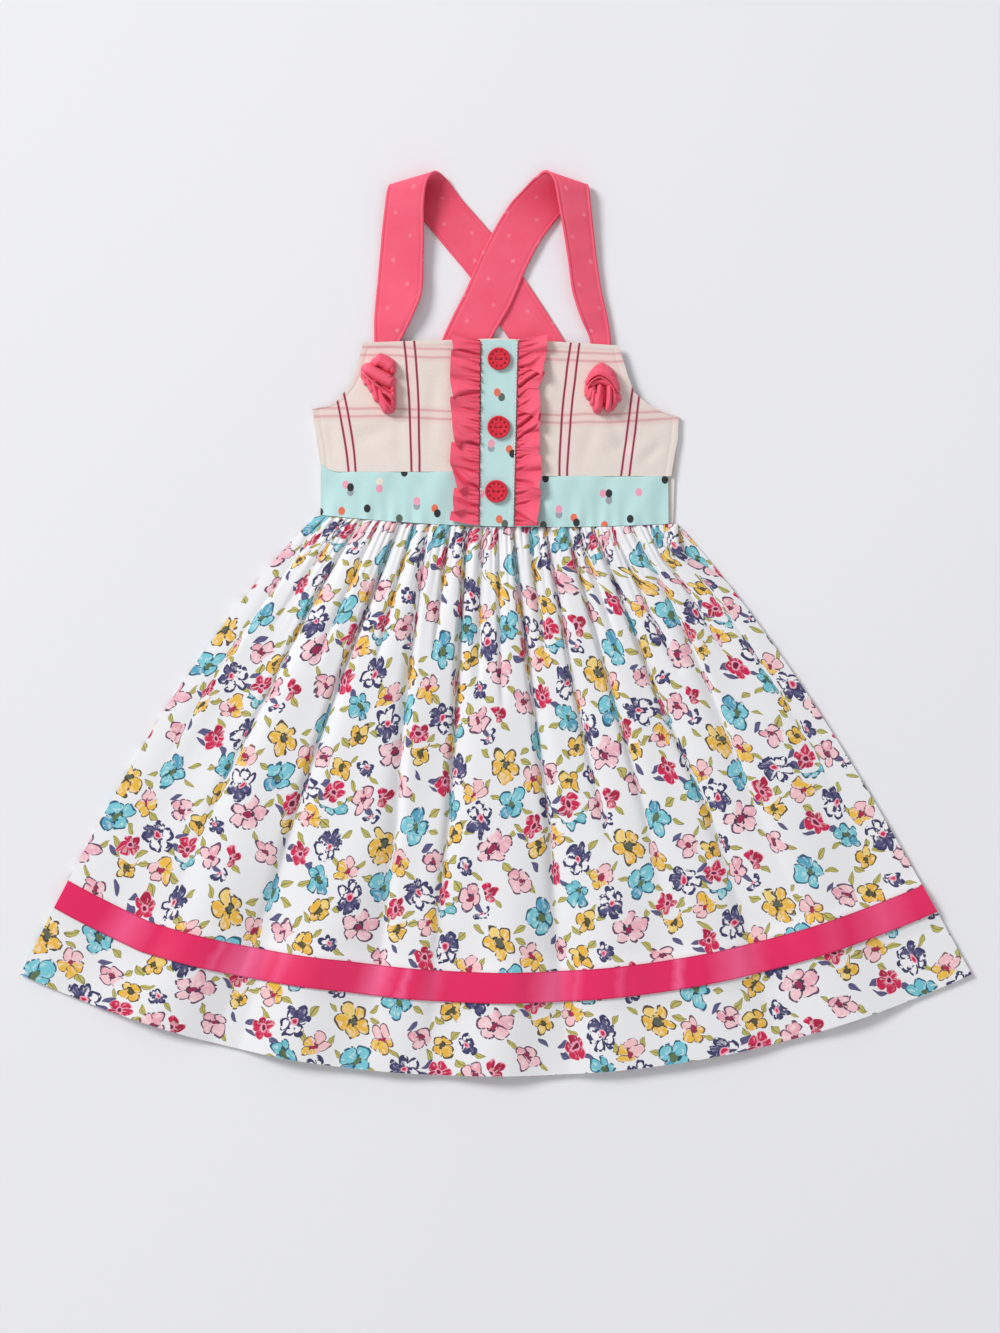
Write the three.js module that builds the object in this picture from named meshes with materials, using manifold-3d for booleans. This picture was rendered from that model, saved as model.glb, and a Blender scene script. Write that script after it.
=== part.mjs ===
// A toddler's sundress lying flat on its back, front up, on the plane z = 0.
// Millimetres. +X is to the right of the front as seen from above, +Y points from the hem to the straps,
// +Z is up. The origin is on the plane, under the middle of the garment's outline.
// Every panel of cloth is a thin wall: a flat box of columns and rows, bent to the panel's own outline
// and folds.
import * as THREE from "three";
import { mergeVertices } from "three/addons/utils/BufferGeometryUtils.js";
import Module from "manifold-3d";

const wasm = await Module();
wasm.setup();

// Cloth and the spaces between layers
const CLOTH = 1.2; // thickness of a single panel with its seam allowance
const STRAP_CLOTH = 1.4; // a strap is sewn double
const RIBBON_CLOTH = 1.0;
const GAP = 0.3; // between pieces at a seam
const LAYER_GAP = 0.4; // between a panel and what lies on it

// Waist, hem and side seams
const WAIST_MIDDLE = 1;
const WAIST_HALF = 120.3;
const WAIST_Y = 65;
const WAIST_TILT = -2.85; // the right end of the waist seam lies lower than the left
const WAIST_BOW = 5.15; // how far its ends rise above its middle
const HEM_HALF = 318.5;
const HEM_Y = -302.5;
const HEM_BOW = 68;
const HEM_BOW_POWER = 2.15;
const SIDE_SWELL = { left: 15, right: 10.5 }; // how far the side seams swell out of a straight line
const SWELL_OUT = 0.84;
const SWELL_UP = 0.543;

// Bodice
const BODICE_HALF = 121.5;
const CROWN = 4.1; // how far the middle of the front lies above its side seams
const CROWN_POWER = 3.2;
const SIDE_TOP = CLOTH + GAP + CLOTH; // upper face of the front at a side seam
const TOP_Y = 190.9; // neckline beside the placket

// Placket and buttons
const PLACKET_TOP = 189.6;
const PLACKET_LEFT = { top: -10.1, bottom: -11.4 };
const PLACKET_RIGHT = { top: 15.1, bottom: 12.3 };
const BUTTON_RADIUS = 7.6;
const BUTTON_HEIGHT = 3;
const THREAD_HOLE = { radius: 0.9, apart: 1.7, sides: 8 };
const PIT = { count: 10, radius: 0.85, depth: 1.2, ring: 5.0, sides: 6 };
const BUTTON_ROUND = 28;
const BUTTONS = [
  { name: "button_top", x: 2.0, y: 177.1 },
  { name: "button_middle", x: 1.8, y: 131.5 },
  { name: "button_bottom", x: 0.2, y: 88.5 },
];

// Ribbon, as shares of the way from the waist to the hem. It is sewn to the front and to the back.
const RIBBON_FROM = 0.811;
const RIBBON_TO = 0.867;
const RIBBON_SAG = [
  { across: -1, more: -0.003 },
  { across: -0.8, more: 0.0125 },
  { across: -0.35, more: -0.0035 },
  { across: 0, more: 0 },
];
const SAG_REACH = 0.13; // share of the length above and below the ribbon over which the sag fades
const RAMP = 0.021; // share of the length over which the back skirt comes up from the surface to its ribbon

// Armhole and side edge of each front yoke, from the neckline corner down to the band
const YOKE_EDGE_LEFT = [
  { x: -88.6, y: 188.3 },
  { x: -91.1, y: 179.2 },
  { x: -93.8, y: 168.8 },
  { x: -98.5, y: 158.8 },
  { x: -106.9, y: 148.6 },
  { x: -114.6, y: 144.9 },
  { x: -122.9, y: 142.0 },
  { x: -121.0, y: 128.6 },
  { x: -118.2, y: 114.6 },
  { x: -117.0, y: 101.8 },
];
const YOKE_EDGE_RIGHT = [
  { x: 81.7, y: 186.3 },
  { x: 85.1, y: 176.4 },
  { x: 88.9, y: 164.2 },
  { x: 92.5, y: 154.8 },
  { x: 101.8, y: 147.0 },
  { x: 111.2, y: 142.0 },
  { x: 122.3, y: 138.8 },
  { x: 121.8, y: 124.0 },
  { x: 119.9, y: 114.6 },
  { x: 117.3, y: 98.9 },
];
const BAND_SIDE = {
  left: { top: -117.0, bottom: -117.5 },
  right: { top: 115.3, bottom: 115.5 },
};
const BAND_RISE = { from: -105, more: 5.6 }; // the seam above the band turns up at its left end

// Side edges of the back of the bodice, by the share of the way from the underarm down to the waist
const BACK_SIDE_LEFT = [
  { down: 0, x: -122.5 },
  { down: 0.5, x: -117.3 },
  { down: 1, x: -117.4 },
];
const BACK_SIDE_RIGHT = [
  { down: 0, x: 122.3 },
  { down: 0.5, x: 119.8 },
  { down: 1, x: 118.6 },
];
const BACK_UNDERARM_Y = { left: 141.5, right: 138.8 };

// How far the tops of the skirt's folds stand above its side seams
const FOLD_RISE = [
  { t: 0, rise: 4.1 },
  { t: 0.06, rise: 7.2 },
  { t: 0.16, rise: 8.4 },
  { t: 0.35, rise: 7.6 },
  { t: 0.6, rise: 5.6 },
  { t: 0.8, rise: 4.2 },
  { t: 1, rise: 3.4 },
];
// The valleys between the skirt's gathers. at and end: place across the skirt at the waist and where the
// fold ends, -1 at the left side seam and 1 at the right. reach: share of the length over which it fades.
// depth: share of the rise.
const FOLDS = [
  { at: -0.93, end: -0.925, reach: 0.7, depth: 0.7 },
  { at: -0.84, end: -0.85, reach: 0.25, depth: 0.6 },
  { at: -0.75, end: -0.77, reach: 0.9, depth: 0.8 },
  { at: -0.65, end: -0.66, reach: 0.3, depth: 0.7 },
  { at: -0.545, end: -0.565, reach: 1.15, depth: 0.95 },
  { at: -0.46, end: -0.45, reach: 0.28, depth: 0.7 },
  { at: -0.375, end: -0.28, reach: 1.0, depth: 0.85 },
  { at: -0.27, end: -0.21, reach: 0.24, depth: 0.65 },
  { at: -0.165, end: -0.14, reach: 1.05, depth: 0.95 },
  { at: -0.08, end: -0.06, reach: 0.3, depth: 0.7 },
  { at: 0.0, end: 0.04, reach: 0.34, depth: 0.6 },
  { at: 0.09, end: 0.155, reach: 1.15, depth: 0.95 },
  { at: 0.175, end: 0.225, reach: 0.24, depth: 0.65 },
  { at: 0.265, end: 0.31, reach: 0.6, depth: 0.8 },
  { at: 0.39, end: 0.43, reach: 0.7, depth: 0.8 },
  { at: 0.455, end: 0.51, reach: 0.25, depth: 0.65 },
  { at: 0.53, end: 0.6, reach: 1.05, depth: 0.9 },
  { at: 0.635, end: 0.68, reach: 0.3, depth: 0.7 },
  { at: 0.75, end: 0.73, reach: 0.8, depth: 0.8 },
  { at: 0.83, end: 0.85, reach: 0.3, depth: 0.65 },
  { at: 0.92, end: 0.93, reach: 0.75, depth: 0.7 },
];
const FOLD_SETTLES = 0.55; // share of the length by which a fold has drifted to its end place
const VALLEY_HALF = 2.3; // half the width of a valley at the waist seam
const VALLEY_SPREAD = 17; // how much wider that half grows down to the hem
const LIP_DROP = 0.16; // share of a valley's depth at its lips
const VALLEY_MOST = 0.4; // share of the way to the next valley that a valley may take
const RIBBON_ROWS = [RIBBON_FROM - RAMP, RIBBON_FROM, RIBBON_TO, RIBBON_TO + RAMP];
const FRONT_ROWS = [0, 0.03, 0.08, 0.16, 0.26, 0.38, 0.5, 0.64, ...RIBBON_ROWS, 0.94, 1];
const BACK_ROWS = [0, 0.16, 0.38, 0.64, ...RIBBON_ROWS, 1];

// Straps, from the end under the front yoke, over the shoulder fold, to the end on the back bodice.
// out and in: the edge on the armhole side and the edge on the neck side, each as x, y, z at mid thickness.
const STRAP_LEFT = [
  { out: [-81.4, 172.9, 3.0], in: [-69.4, 172.9, 3.1] },
  { out: [-81.5, 184.9, 3.0], in: [-66.0, 184.9, 3.1] },
  { out: [-81.6, 193.6, 3.0], in: [-61.6, 193.6, 4.4] },
  { out: [-81.5, 205.0, 2.6], in: [-55.6, 205.7, 7.6] },
  { out: [-80.1, 221.4, 2.4], in: [-49.6, 221.4, 7.4] },
  { out: [-78.3, 240.5, 2.8], in: [-48.5, 240.5, 6.6] },
  { out: [-76.2, 264.0, 4.0], in: [-48.1, 264.0, 8.5] },
  { out: [-74.2, 280.7, 5.5], in: [-47.9, 282.1, 11.5] },
  { out: [-72.7, 290.6, 5.8], in: [-45.2, 297.0, 13.0] },
  { out: [-71.4, 293.4, 3.4], in: [-39.9, 302.2, 8.6] },
  { out: [-69.4, 291.5, 1.2], in: [-34.5, 299.5, 3.2] },
  { out: [-61.6, 285.4, 0.7], in: [-28.8, 292.5, 1.2] },
  { out: [-46.9, 268.2, 0.7], in: [-23.1, 284.8, 0.7] },
  { out: [-32.8, 250.9, 0.7], in: [-9.0, 268.7, 0.7] },
  { out: [-16.1, 230.5, 0.7], in: [7.7, 247.9, 0.7] },
  { out: [7.0, 193.6, 0.7], in: [32.8, 210.6, 0.7] },
  { out: [28.7, 163.8, 0.7], in: [52.5, 179.9, 0.7] },
  { out: [41.5, 146.8, 2.35], in: [65.2, 162.8, 2.35] },
  { out: [55.0, 128.5, 2.35], in: [78.8, 144.5, 2.35] },
];
const STRAP_RIGHT = [
  { out: [76.4, 171.5, 3.0], in: [65.7, 172.9, 3.1] },
  { out: [76.8, 184.3, 3.0], in: [63.7, 185.6, 3.1] },
  { out: [76.8, 191.4, 3.0], in: [61.9, 193.0, 4.2] },
  { out: [75.0, 203.7, 3.0], in: [57.0, 203.7, 7.2] },
  { out: [71.0, 221.8, 3.0], in: [51.2, 221.4, 8.0] },
  { out: [67.7, 242.5, 3.6], in: [48.0, 243.9, 8.6] },
  { out: [65.3, 264.0, 4.8], in: [44.4, 266.0, 10.2] },
  { out: [63.5, 280.7, 5.8], in: [41.2, 283.4, 12.2] },
  { out: [62.4, 290.6, 5.8], in: [38.2, 297.2, 13.0] },
  { out: [61.4, 293.4, 3.6], in: [32.8, 302.8, 9.0] },
  { out: [58.9, 291.5, 1.4], in: [26.5, 299.2, 4.4] },
  { out: [51.6, 284.8, 0.9], in: [18.1, 290.8, 2.6] },
  { out: [42.2, 272.7, 1.5], in: [9.0, 280.7, 2.6] },
  { out: [30.2, 256.6, 2.6], in: [-1.3, 264.0, 2.6] },
  { out: [19.4, 235.8, 2.6], in: [-11.1, 244.6, 2.6] },
  { out: [10.1, 213.7, 2.6], in: [-20.1, 223.8, 2.6] },
  { out: [-0.7, 195.0, 2.6], in: [-29.5, 205.0, 2.0] },
  { out: [-17.1, 161.4, 1.2], in: [-43.9, 173.8, 1.0] },
  { out: [-23.5, 147.2, 2.35], in: [-49.8, 160.0, 2.35] },
  { out: [-31.8, 129.5, 2.35], in: [-58.2, 142.0, 2.35] },
];
const STRAP_STEPS = 46;
const STRAP_ACROSS = 3;
const STRAP_LOOK = 0.004; // share of the strap's length over which its direction is measured

// Outer edge of each ruffle, from the neckline to the waist
const RUFFLE_EDGE_LEFT = [
  { y: 194.8, x: -29.3 },
  { y: 170.0, x: -30.6 },
  { y: 150.0, x: -30.6 },
  { y: 129.0, x: -28.8 },
  { y: 110.0, x: -30.8 },
  { y: 93.0, x: -27.4 },
  { y: 68.5, x: -31.0 },
];
const RUFFLE_EDGE_RIGHT = [
  { y: 192.6, x: 34.2 },
  { y: 171.0, x: 33.4 },
  { y: 157.0, x: 28.2 },
  { y: 143.0, x: 31.0 },
  { y: 131.0, x: 28.8 },
  { y: 100.0, x: 30.6 },
  { y: 66.0, x: 28.6 },
];
const RUFFLE_WAVES = { left: 7, right: 8 };
const RUFFLE_LIFT = 4.2; // height of a wave at the ruffle's free edge
const RUFFLE_GATHER = 0.9; // height of the gathers at its sewn edge
const RUFFLE_STEPS = 6; // columns for each wave
const RUFFLE_DRIFT = 0.22; // share of a wave by which the waves are unevenly spaced
const RUFFLE_DRIFT_TURNS = 1.5;

// Knots tied in the strap ends: the outline round the middle, clockwise from above, and the grooves between
// the folds
const KNOT_HEIGHT = 11.5;
const KNOT_GROOVE = 2.6; // depth of a groove
const KNOT_GROOVE_HALF = 1.9; // half of its width
const KNOT_STEPS = 12;
const KNOT_ROUND = 28;
const KNOT_LEFT = {
  name: "knot_left",
  middle: [-77.0, 160.0],
  outline: [
    [-91.1, 170.2],
    [-87.8, 172.2],
    [-80.4, 176.9],
    [-76.4, 180.6],
    [-71.0, 180.9],
    [-67.0, 177.6],
    [-66.5, 167.5],
    [-66.7, 156.8],
    [-68.1, 143.4],
    [-72.4, 139.6],
    [-76.4, 141.8],
    [-81.7, 151.4],
    [-87.8, 162.1],
  ],
  grooves: [
    { from: [-90.0, 170.8], to: [-66.6, 158.6] },
    { from: [-86.6, 163.4], to: [-69.5, 150.4] },
    { from: [-82.0, 155.4], to: [-70.8, 141.6] },
  ],
};
const KNOT_RIGHT = {
  name: "knot_right",
  middle: [71.2, 156.0],
  outline: [
    [59.0, 156.8],
    [61.4, 163.5],
    [65.0, 169.5],
    [70.0, 173.9],
    [75.0, 171.5],
    [79.7, 166.2],
    [82.0, 157.6],
    [83.9, 150.8],
    [78.6, 142.6],
    [73.0, 139.4],
    [65.0, 140.4],
    [60.6, 147.4],
  ],
  grooves: [
    { from: [62.0, 161.4], to: [69.6, 163.6] },
    { from: [69.6, 163.6], to: [81.6, 155.6] },
    { from: [68.4, 158.4], to: [64.4, 143.0] },
    { from: [71.4, 158.4], to: [73.0, 140.6] },
    { from: [76.4, 157.4], to: [79.4, 143.6] },
  ],
};

// Colours, roughness and metalness as they look
const finish = (color, roughness) => new THREE.MeshStandardMaterial({ color, roughness, metalness: 0 });
const FLORAL = finish(0xf2efec, 0.85);
const CREAM = finish(0xeadfd3, 0.85);
const AQUA = finish(0xbfe3df, 0.8);
const CORAL = finish(0xe95a72, 0.8);
const SATIN = finish(0xe0356a, 0.4);
const BUTTON_RED = finish(0xd0222f, 0.35);

const mix = THREE.MathUtils.lerp;
const dress = new THREE.Group();

function addPiece(name, geometry, material) {
  geometry.computeVertexNormals();
  const mesh = new THREE.Mesh(geometry, material);
  mesh.name = name;
  dress.add(mesh);
}

// Reads a column of a table whose rows are sorted by another column, with straight lines between rows.
function readTable(table, key, value, column) {
  const rising = table[table.length - 1][key] > table[0][key];
  let k = 1;
  while (k < table.length - 1 && (rising ? value > table[k][key] : value < table[k][key])) k++;
  const [from, to] = [table[k - 1], table[k]];
  const share = THREE.MathUtils.clamp((value - from[key]) / (to[key] - from[key]), 0, 1);
  return mix(from[column], to[column], share);
}

// A wall whose upper face follows outer(column, row) and whose lower face follows inner(column, row).
function bentWall(columns, rows, outer, inner) {
  const wall = new THREE.BoxGeometry(1, 1, 1, columns, rows, 1);
  const at = wall.attributes.position;
  for (let i = 0; i < at.count; i++) {
    const column = Math.round((at.getX(i) + 0.5) * columns);
    const row = Math.round((0.5 - at.getY(i)) * rows);
    const point = (at.getZ(i) > 0 ? outer : inner)(column, row);
    at.setXYZ(i, point.x, point.y, point.z);
  }
  return wall;
}

// A wall of even thickness under an upper face.
function hungWall(columns, rows, outer, thickness) {
  const inner = (column, row) => {
    const point = outer(column, row);
    return { x: point.x, y: point.y, z: point.z - thickness };
  };
  return bentWall(columns, rows, outer, inner);
}

// The whole garment's outline
const waistY = (across) => WAIST_Y + WAIST_TILT * across + WAIST_BOW * across * across;

// The ribbon and the rows of cloth beside it sag a little on the left of the front
function sagged(across, t) {
  const near = Math.max(0, 1 - Math.abs(t - (RIBBON_FROM + RIBBON_TO) / 2) / SAG_REACH);
  return t + Math.min(1, 2 * near) * readTable(RIBBON_SAG, "across", across, "more");
}

// How far the ribbon on the back lifts the cloth above it
function liftOver(t) {
  const outside = Math.max(RIBBON_FROM - t, t - RIBBON_TO, 0);
  return (RIBBON_CLOTH + GAP) * Math.max(0, 1 - outside / RAMP);
}

function skirtPlace(across, even) {
  const t = sagged(across, even);
  const waist = { x: WAIST_MIDDLE + WAIST_HALF * across, y: waistY(across) - GAP / 2 };
  const hem = { x: HEM_HALF * across, y: HEM_Y + HEM_BOW * Math.abs(across) ** HEM_BOW_POWER };
  const side = across < 0 ? SIDE_SWELL.left : SIDE_SWELL.right;
  const swell = side * Math.sin(Math.PI * t ** 0.8) * across * across;
  return {
    x: mix(waist.x, hem.x, t) + Math.sign(across) * SWELL_OUT * swell,
    y: mix(waist.y, hem.y, t) + SWELL_UP * swell,
  };
}

// Upper face of the flat front over its crown
function frontTop(x) {
  const share = Math.min(1, Math.abs((x - WAIST_MIDDLE) / BODICE_HALF));
  return SIDE_TOP + CROWN * (1 - share ** CROWN_POWER);
}

// Back of the bodice: one flat panel
function backBodice() {
  const [columns, rows] = [10, 4];
  const place = (column, row) => {
    const [u, v] = [column / columns, row / rows];
    const leftX = readTable(BACK_SIDE_LEFT, "down", v, "x");
    const rightX = readTable(BACK_SIDE_RIGHT, "down", v, "x");
    const x = mix(leftX, rightX, u);
    const top = mix(BACK_UNDERARM_Y.left, BACK_UNDERARM_Y.right, u);
    const seam = waistY((x - WAIST_MIDDLE) / WAIST_HALF) + GAP / 2;
    return { x, y: mix(top, seam, v), z: CLOTH };
  };
  addPiece("back_bodice", hungWall(columns, rows, place, CLOTH), CREAM);
}

// Back of the skirt: its outer side rests flat, so its gathers are pressed out, and its ribbon lies under it
function backSkirt() {
  const [columns, rows] = [22, BACK_ROWS.length - 1];
  const place = (column, row) => {
    const point = skirtPlace(mix(-1, 1, column / columns), BACK_ROWS[row]);
    return { ...point, z: CLOTH + liftOver(BACK_ROWS[row]) };
  };
  addPiece("back_skirt", hungWall(columns, rows, place, CLOTH), FLORAL);
  const ends = [RIBBON_FROM + 0.001, RIBBON_TO - 0.001];
  const strip = (column, row) => {
    const point = skirtPlace(mix(-1, 1, column / columns), ends[row]);
    return { ...point, z: RIBBON_CLOTH };
  };
  addPiece("ribbon_back", hungWall(columns, 1, strip, RIBBON_CLOTH), SATIN);
}

// How far the seam between yoke and band lies above its level part
function bandRise(x) {
  const share = THREE.MathUtils.clamp((BAND_RISE.from - x) / (BAND_RISE.from - BAND_SIDE.left.top), 0, 1);
  return BAND_RISE.more * share * share;
}

// Front yokes: from the armhole edge to the middle of the placket
function yokes() {
  const columns = 20;
  for (const [name, edge, sign] of [
    ["front_yoke_left", YOKE_EDGE_LEFT, -1],
    ["front_yoke_right", YOKE_EDGE_RIGHT, 1],
  ]) {
    const rows = edge.length - 1;
    const place = (column, row) => {
      const outerShare = sign < 0 ? 1 - column / columns : column / columns;
      const v = row / rows;
      const sum = (end) => PLACKET_LEFT[end] + PLACKET_RIGHT[end];
      const seam = mix(sum("top"), sum("bottom"), v) / 2;
      const middle = { x: seam + (sign * GAP) / 2, y: edge[row].y };
      const towardsTop = 1 - Math.min(1, row / 4);
      middle.y += (TOP_Y - edge[0].y) * towardsTop;
      const x = mix(middle.x, edge[row].x, outerShare);
      const y = mix(middle.y, edge[row].y, outerShare) + bandRise(x) * Math.max(0, 2 * v - 1);
      return { x, y, z: frontTop(x) };
    };
    addPiece(name, hungWall(columns, rows, place, CLOTH), CREAM);
  }
}

// Waistbands: from the yoke's lower edge to the waist seam
function bands() {
  const [columns, rows] = [20, 2];
  for (const [name, side, edge, sign] of [
    ["front_band_left", BAND_SIDE.left, YOKE_EDGE_LEFT, -1],
    ["front_band_right", BAND_SIDE.right, YOKE_EDGE_RIGHT, 1],
  ]) {
    const top = edge[edge.length - 1].y - GAP;
    const place = (column, row) => {
      const outerShare = sign < 0 ? 1 - column / columns : column / columns;
      const v = row / rows;
      const seam = (PLACKET_LEFT.bottom + PLACKET_RIGHT.bottom) / 2;
      const x = mix(seam + (sign * GAP) / 2, mix(side.top, side.bottom, v), outerShare);
      const waist = waistY((x - WAIST_MIDDLE) / WAIST_HALF) + GAP / 2;
      return { x, y: mix(top + bandRise(x), waist, v), z: frontTop(x) };
    };
    addPiece(name, hungWall(columns, rows, place, CLOTH), AQUA);
  }
}

function placket() {
  const [columns, rows] = [2, 8];
  const place = (column, row) => {
    const v = row / rows;
    const left = mix(PLACKET_LEFT.top, PLACKET_LEFT.bottom, v);
    const right = mix(PLACKET_RIGHT.top, PLACKET_RIGHT.bottom, v);
    const x = mix(left, right, column / columns);
    const bottom = waistY((x - WAIST_MIDDLE) / WAIST_HALF) + GAP / 2;
    return { x, y: mix(PLACKET_TOP, bottom, v), z: frontTop(x) + LAYER_GAP + CLOTH };
  };
  addPiece("placket", hungWall(columns, rows, place, CLOTH), AQUA);
}

// Ruffles: small gathers at the sewn edge open into a few large waves at the free edge
function ruffles() {
  const rows = 4;
  for (const [name, edge, sewn, waves, sign] of [
    ["ruffle_left", RUFFLE_EDGE_LEFT, PLACKET_LEFT, RUFFLE_WAVES.left, -1],
    ["ruffle_right", RUFFLE_EDGE_RIGHT, PLACKET_RIGHT, RUFFLE_WAVES.right, 1],
  ]) {
    const columns = waves * RUFFLE_STEPS;
    const place = (column, row) => {
      const v = column / columns;
      const outwards = row / rows;
      const sewnX = mix(sewn.top, sewn.bottom, v) + sign * GAP;
      const bottomY = waistY((sewnX - WAIST_MIDDLE) / WAIST_HALF) + GAP;
      const sewnY = mix(PLACKET_TOP, bottomY, v);
      const freeY = mix(edge[0].y, edge[edge.length - 1].y, v);
      const x = mix(sewnX, readTable(edge, "y", freeY, "x"), outwards);
      const y = mix(sewnY, freeY, outwards);
      const drift = RUFFLE_DRIFT * Math.sin(2 * Math.PI * RUFFLE_DRIFT_TURNS * v + sign);
      const phase = 2 * Math.PI * (waves * v + drift);
      const wave = 0.5 - 0.5 * Math.cos(phase);
      const gather = 0.5 - 0.5 * Math.cos(2 * phase + 1);
      const lift = RUFFLE_LIFT * wave * outwards ** 1.2 + RUFFLE_GATHER * gather * (1 - outwards);
      return { x, y, z: frontTop(x) + LAYER_GAP + CLOTH + lift };
    };
    // Columns run down the ruffle, so which side faces up depends on the side of the placket it is sewn to.
    const lower = (column, row) => {
      const point = place(column, row);
      return { ...point, z: point.z - CLOTH };
    };
    const wall = sign < 0 ? bentWall(columns, rows, place, lower) : bentWall(columns, rows, lower, place);
    addPiece(name, wall, CORAL);
  }
}

// Columns of the gathered skirt: a ridge, then each valley's left lip, bottom and right lip
function skirtColumns() {
  const columns = [{ fold: 0, ridge: -1 }];
  FOLDS.forEach((fold, k) => {
    for (const lip of [-1, 0, 1]) columns.push({ fold: k, lip });
    columns.push({ fold: k, ridge: 1 });
  });
  return columns;
}

function foldPlace(fold, t) {
  const drift = Math.min(1, t / FOLD_SETTLES);
  return mix(fold.at, fold.end, drift);
}

// Half a valley's width as a share of the skirt's half width at t
function valleyHalf(t) {
  return (VALLEY_HALF + VALLEY_SPREAD * t * t) / mix(WAIST_HALF, HEM_HALF, t);
}

function foldDepth(fold, t) {
  const left = Math.max(0, 1 - t / fold.reach);
  return fold.depth * left ** 0.8;
}

const SKIRT_COLUMNS = skirtColumns();

// Upper face of the gathered front skirt at a column and at t
function skirtTop(column, t) {
  const { fold, lip, ridge } = SKIRT_COLUMNS[column];
  const here = foldPlace(FOLDS[fold], t);
  let across;
  let drop = 0;
  if (lip === undefined) {
    const next = FOLDS[fold + ridge];
    across = next ? (here + foldPlace(next, t)) / 2 : ridge;
  } else {
    const room = (neighbour) => {
      if (!neighbour) return 2 * (1 - Math.abs(here));
      return Math.abs(foldPlace(neighbour, t) - here);
    };
    const most = VALLEY_MOST * Math.min(room(FOLDS[fold - 1]), room(FOLDS[fold + 1]));
    across = here + lip * Math.min(valleyHalf(t), most);
    drop = foldDepth(FOLDS[fold], t) * (lip === 0 ? 1 : LIP_DROP);
  }
  const crown = 1 - Math.min(1, Math.abs(across)) ** CROWN_POWER;
  const rise = readTable(FOLD_RISE, "t", t, "rise") * crown;
  return { ...skirtPlace(across, t), z: SIDE_TOP + liftOver(t) + rise * (1 - drop) };
}

function frontSkirt() {
  const place = (column, row) => skirtTop(column, FRONT_ROWS[row]);
  const wall = hungWall(SKIRT_COLUMNS.length - 1, FRONT_ROWS.length - 1, place, CLOTH);
  addPiece("front_skirt", wall, FLORAL);
}

// The ribbon lies on the skirt's own points, moved out
function ribbon() {
  const ends = [RIBBON_FROM, RIBBON_TO];
  const place = (column, row) => {
    const point = skirtTop(column, ends[row]);
    return { ...point, z: point.z + LAYER_GAP + RIBBON_CLOTH };
  };
  addPiece("ribbon_front", hungWall(SKIRT_COLUMNS.length - 1, 1, place, RIBBON_CLOTH), SATIN);
}

// A strap is a ribbon of sections between two smooth edges
function strap(name, sections, sign) {
  const outEdge = new THREE.CatmullRomCurve3(sections.map((row) => new THREE.Vector3(...row.out)));
  const inEdge = new THREE.CatmullRomCurve3(sections.map((row) => new THREE.Vector3(...row.in)));
  const middle = (along, across) => {
    const out = outEdge.getPoint(THREE.MathUtils.clamp(along, 0, 1));
    return out.lerp(inEdge.getPoint(THREE.MathUtils.clamp(along, 0, 1)), across);
  };
  const face = (side) => (column, row) => {
    const along = row / STRAP_STEPS;
    const across = sign < 0 ? column / STRAP_ACROSS : 1 - column / STRAP_ACROSS;
    const forwards = middle(along + STRAP_LOOK, across).sub(middle(along - STRAP_LOOK, across));
    const sideways = middle(along, 1).sub(middle(along, 0)).multiplyScalar(-sign);
    const normal = sideways.cross(forwards).normalize();
    const point = middle(along, across).addScaledVector(normal, (side * STRAP_CLOTH) / 2);
    return point.setZ(Math.max(0, point.z));
  };
  addPiece(name, bentWall(STRAP_ACROSS, STRAP_STEPS, face(-1), face(1)), CORAL);
}

// Where a ray from the middle at an angle meets the outline
function outlineReach({ middle, outline }, angle) {
  const [dx, dy] = [Math.cos(angle), Math.sin(angle)];
  let reach = 0;
  outline.forEach(([ax, ay], k) => {
    const [bx, by] = outline[(k + 1) % outline.length];
    const [ex, ey] = [bx - ax, by - ay];
    const [fx, fy] = [ax - middle[0], ay - middle[1]];
    const cross = dx * ey - dy * ex;
    const share = (fx * dy - fy * dx) / cross;
    const length = (fx * ey - fy * ex) / cross;
    if (share >= 0 && share <= 1 && length > reach) reach = length;
  });
  return reach;
}

function distanceToLine(x, y, { from, to }) {
  const [ex, ey] = [to[0] - from[0], to[1] - from[1]];
  const share = ((x - from[0]) * ex + (y - from[1]) * ey) / (ex * ex + ey * ey);
  const near = THREE.MathUtils.clamp(share, 0, 1);
  return Math.hypot(x - from[0] - near * ex, y - from[1] - near * ey);
}

// A knot is a plump dome with grooves between its folds, flat where it lies on the yoke
function knot(row) {
  const roll = new THREE.SphereGeometry(1, KNOT_ROUND, KNOT_STEPS).rotateX(Math.PI / 2);
  const at = roll.attributes.position;
  for (let i = 0; i < at.count; i++) {
    const angle = Math.atan2(at.getY(i), at.getX(i));
    const round = Math.hypot(at.getX(i), at.getY(i));
    const reach = outlineReach(row, angle) * Math.min(1, round);
    const x = row.middle[0] + reach * Math.cos(angle);
    const y = row.middle[1] + reach * Math.sin(angle);
    const near = Math.min(...row.grooves.map((line) => distanceToLine(x, y, line)));
    const groove = KNOT_GROOVE * Math.exp(-((near / KNOT_GROOVE_HALF) ** 2));
    const dome = Math.max(0, at.getZ(i)) ** 0.75;
    const floor = frontTop(x) + LAYER_GAP;
    at.setXYZ(i, x, y, floor + dome * (KNOT_HEIGHT - groove));
  }
  return roll;
}

// A closed mesh as a solid that can be cut
function solidOf(geometry) {
  const bare = geometry.clone().deleteAttribute("normal").deleteAttribute("uv");
  const merged = mergeVertices(bare, 1e-3);
  const triVerts = new Uint32Array(merged.index.array);
  const vertProperties = merged.attributes.position.array;
  return new wasm.Manifold(new wasm.Mesh({ numProp: 3, vertProperties, triVerts }));
}

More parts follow.
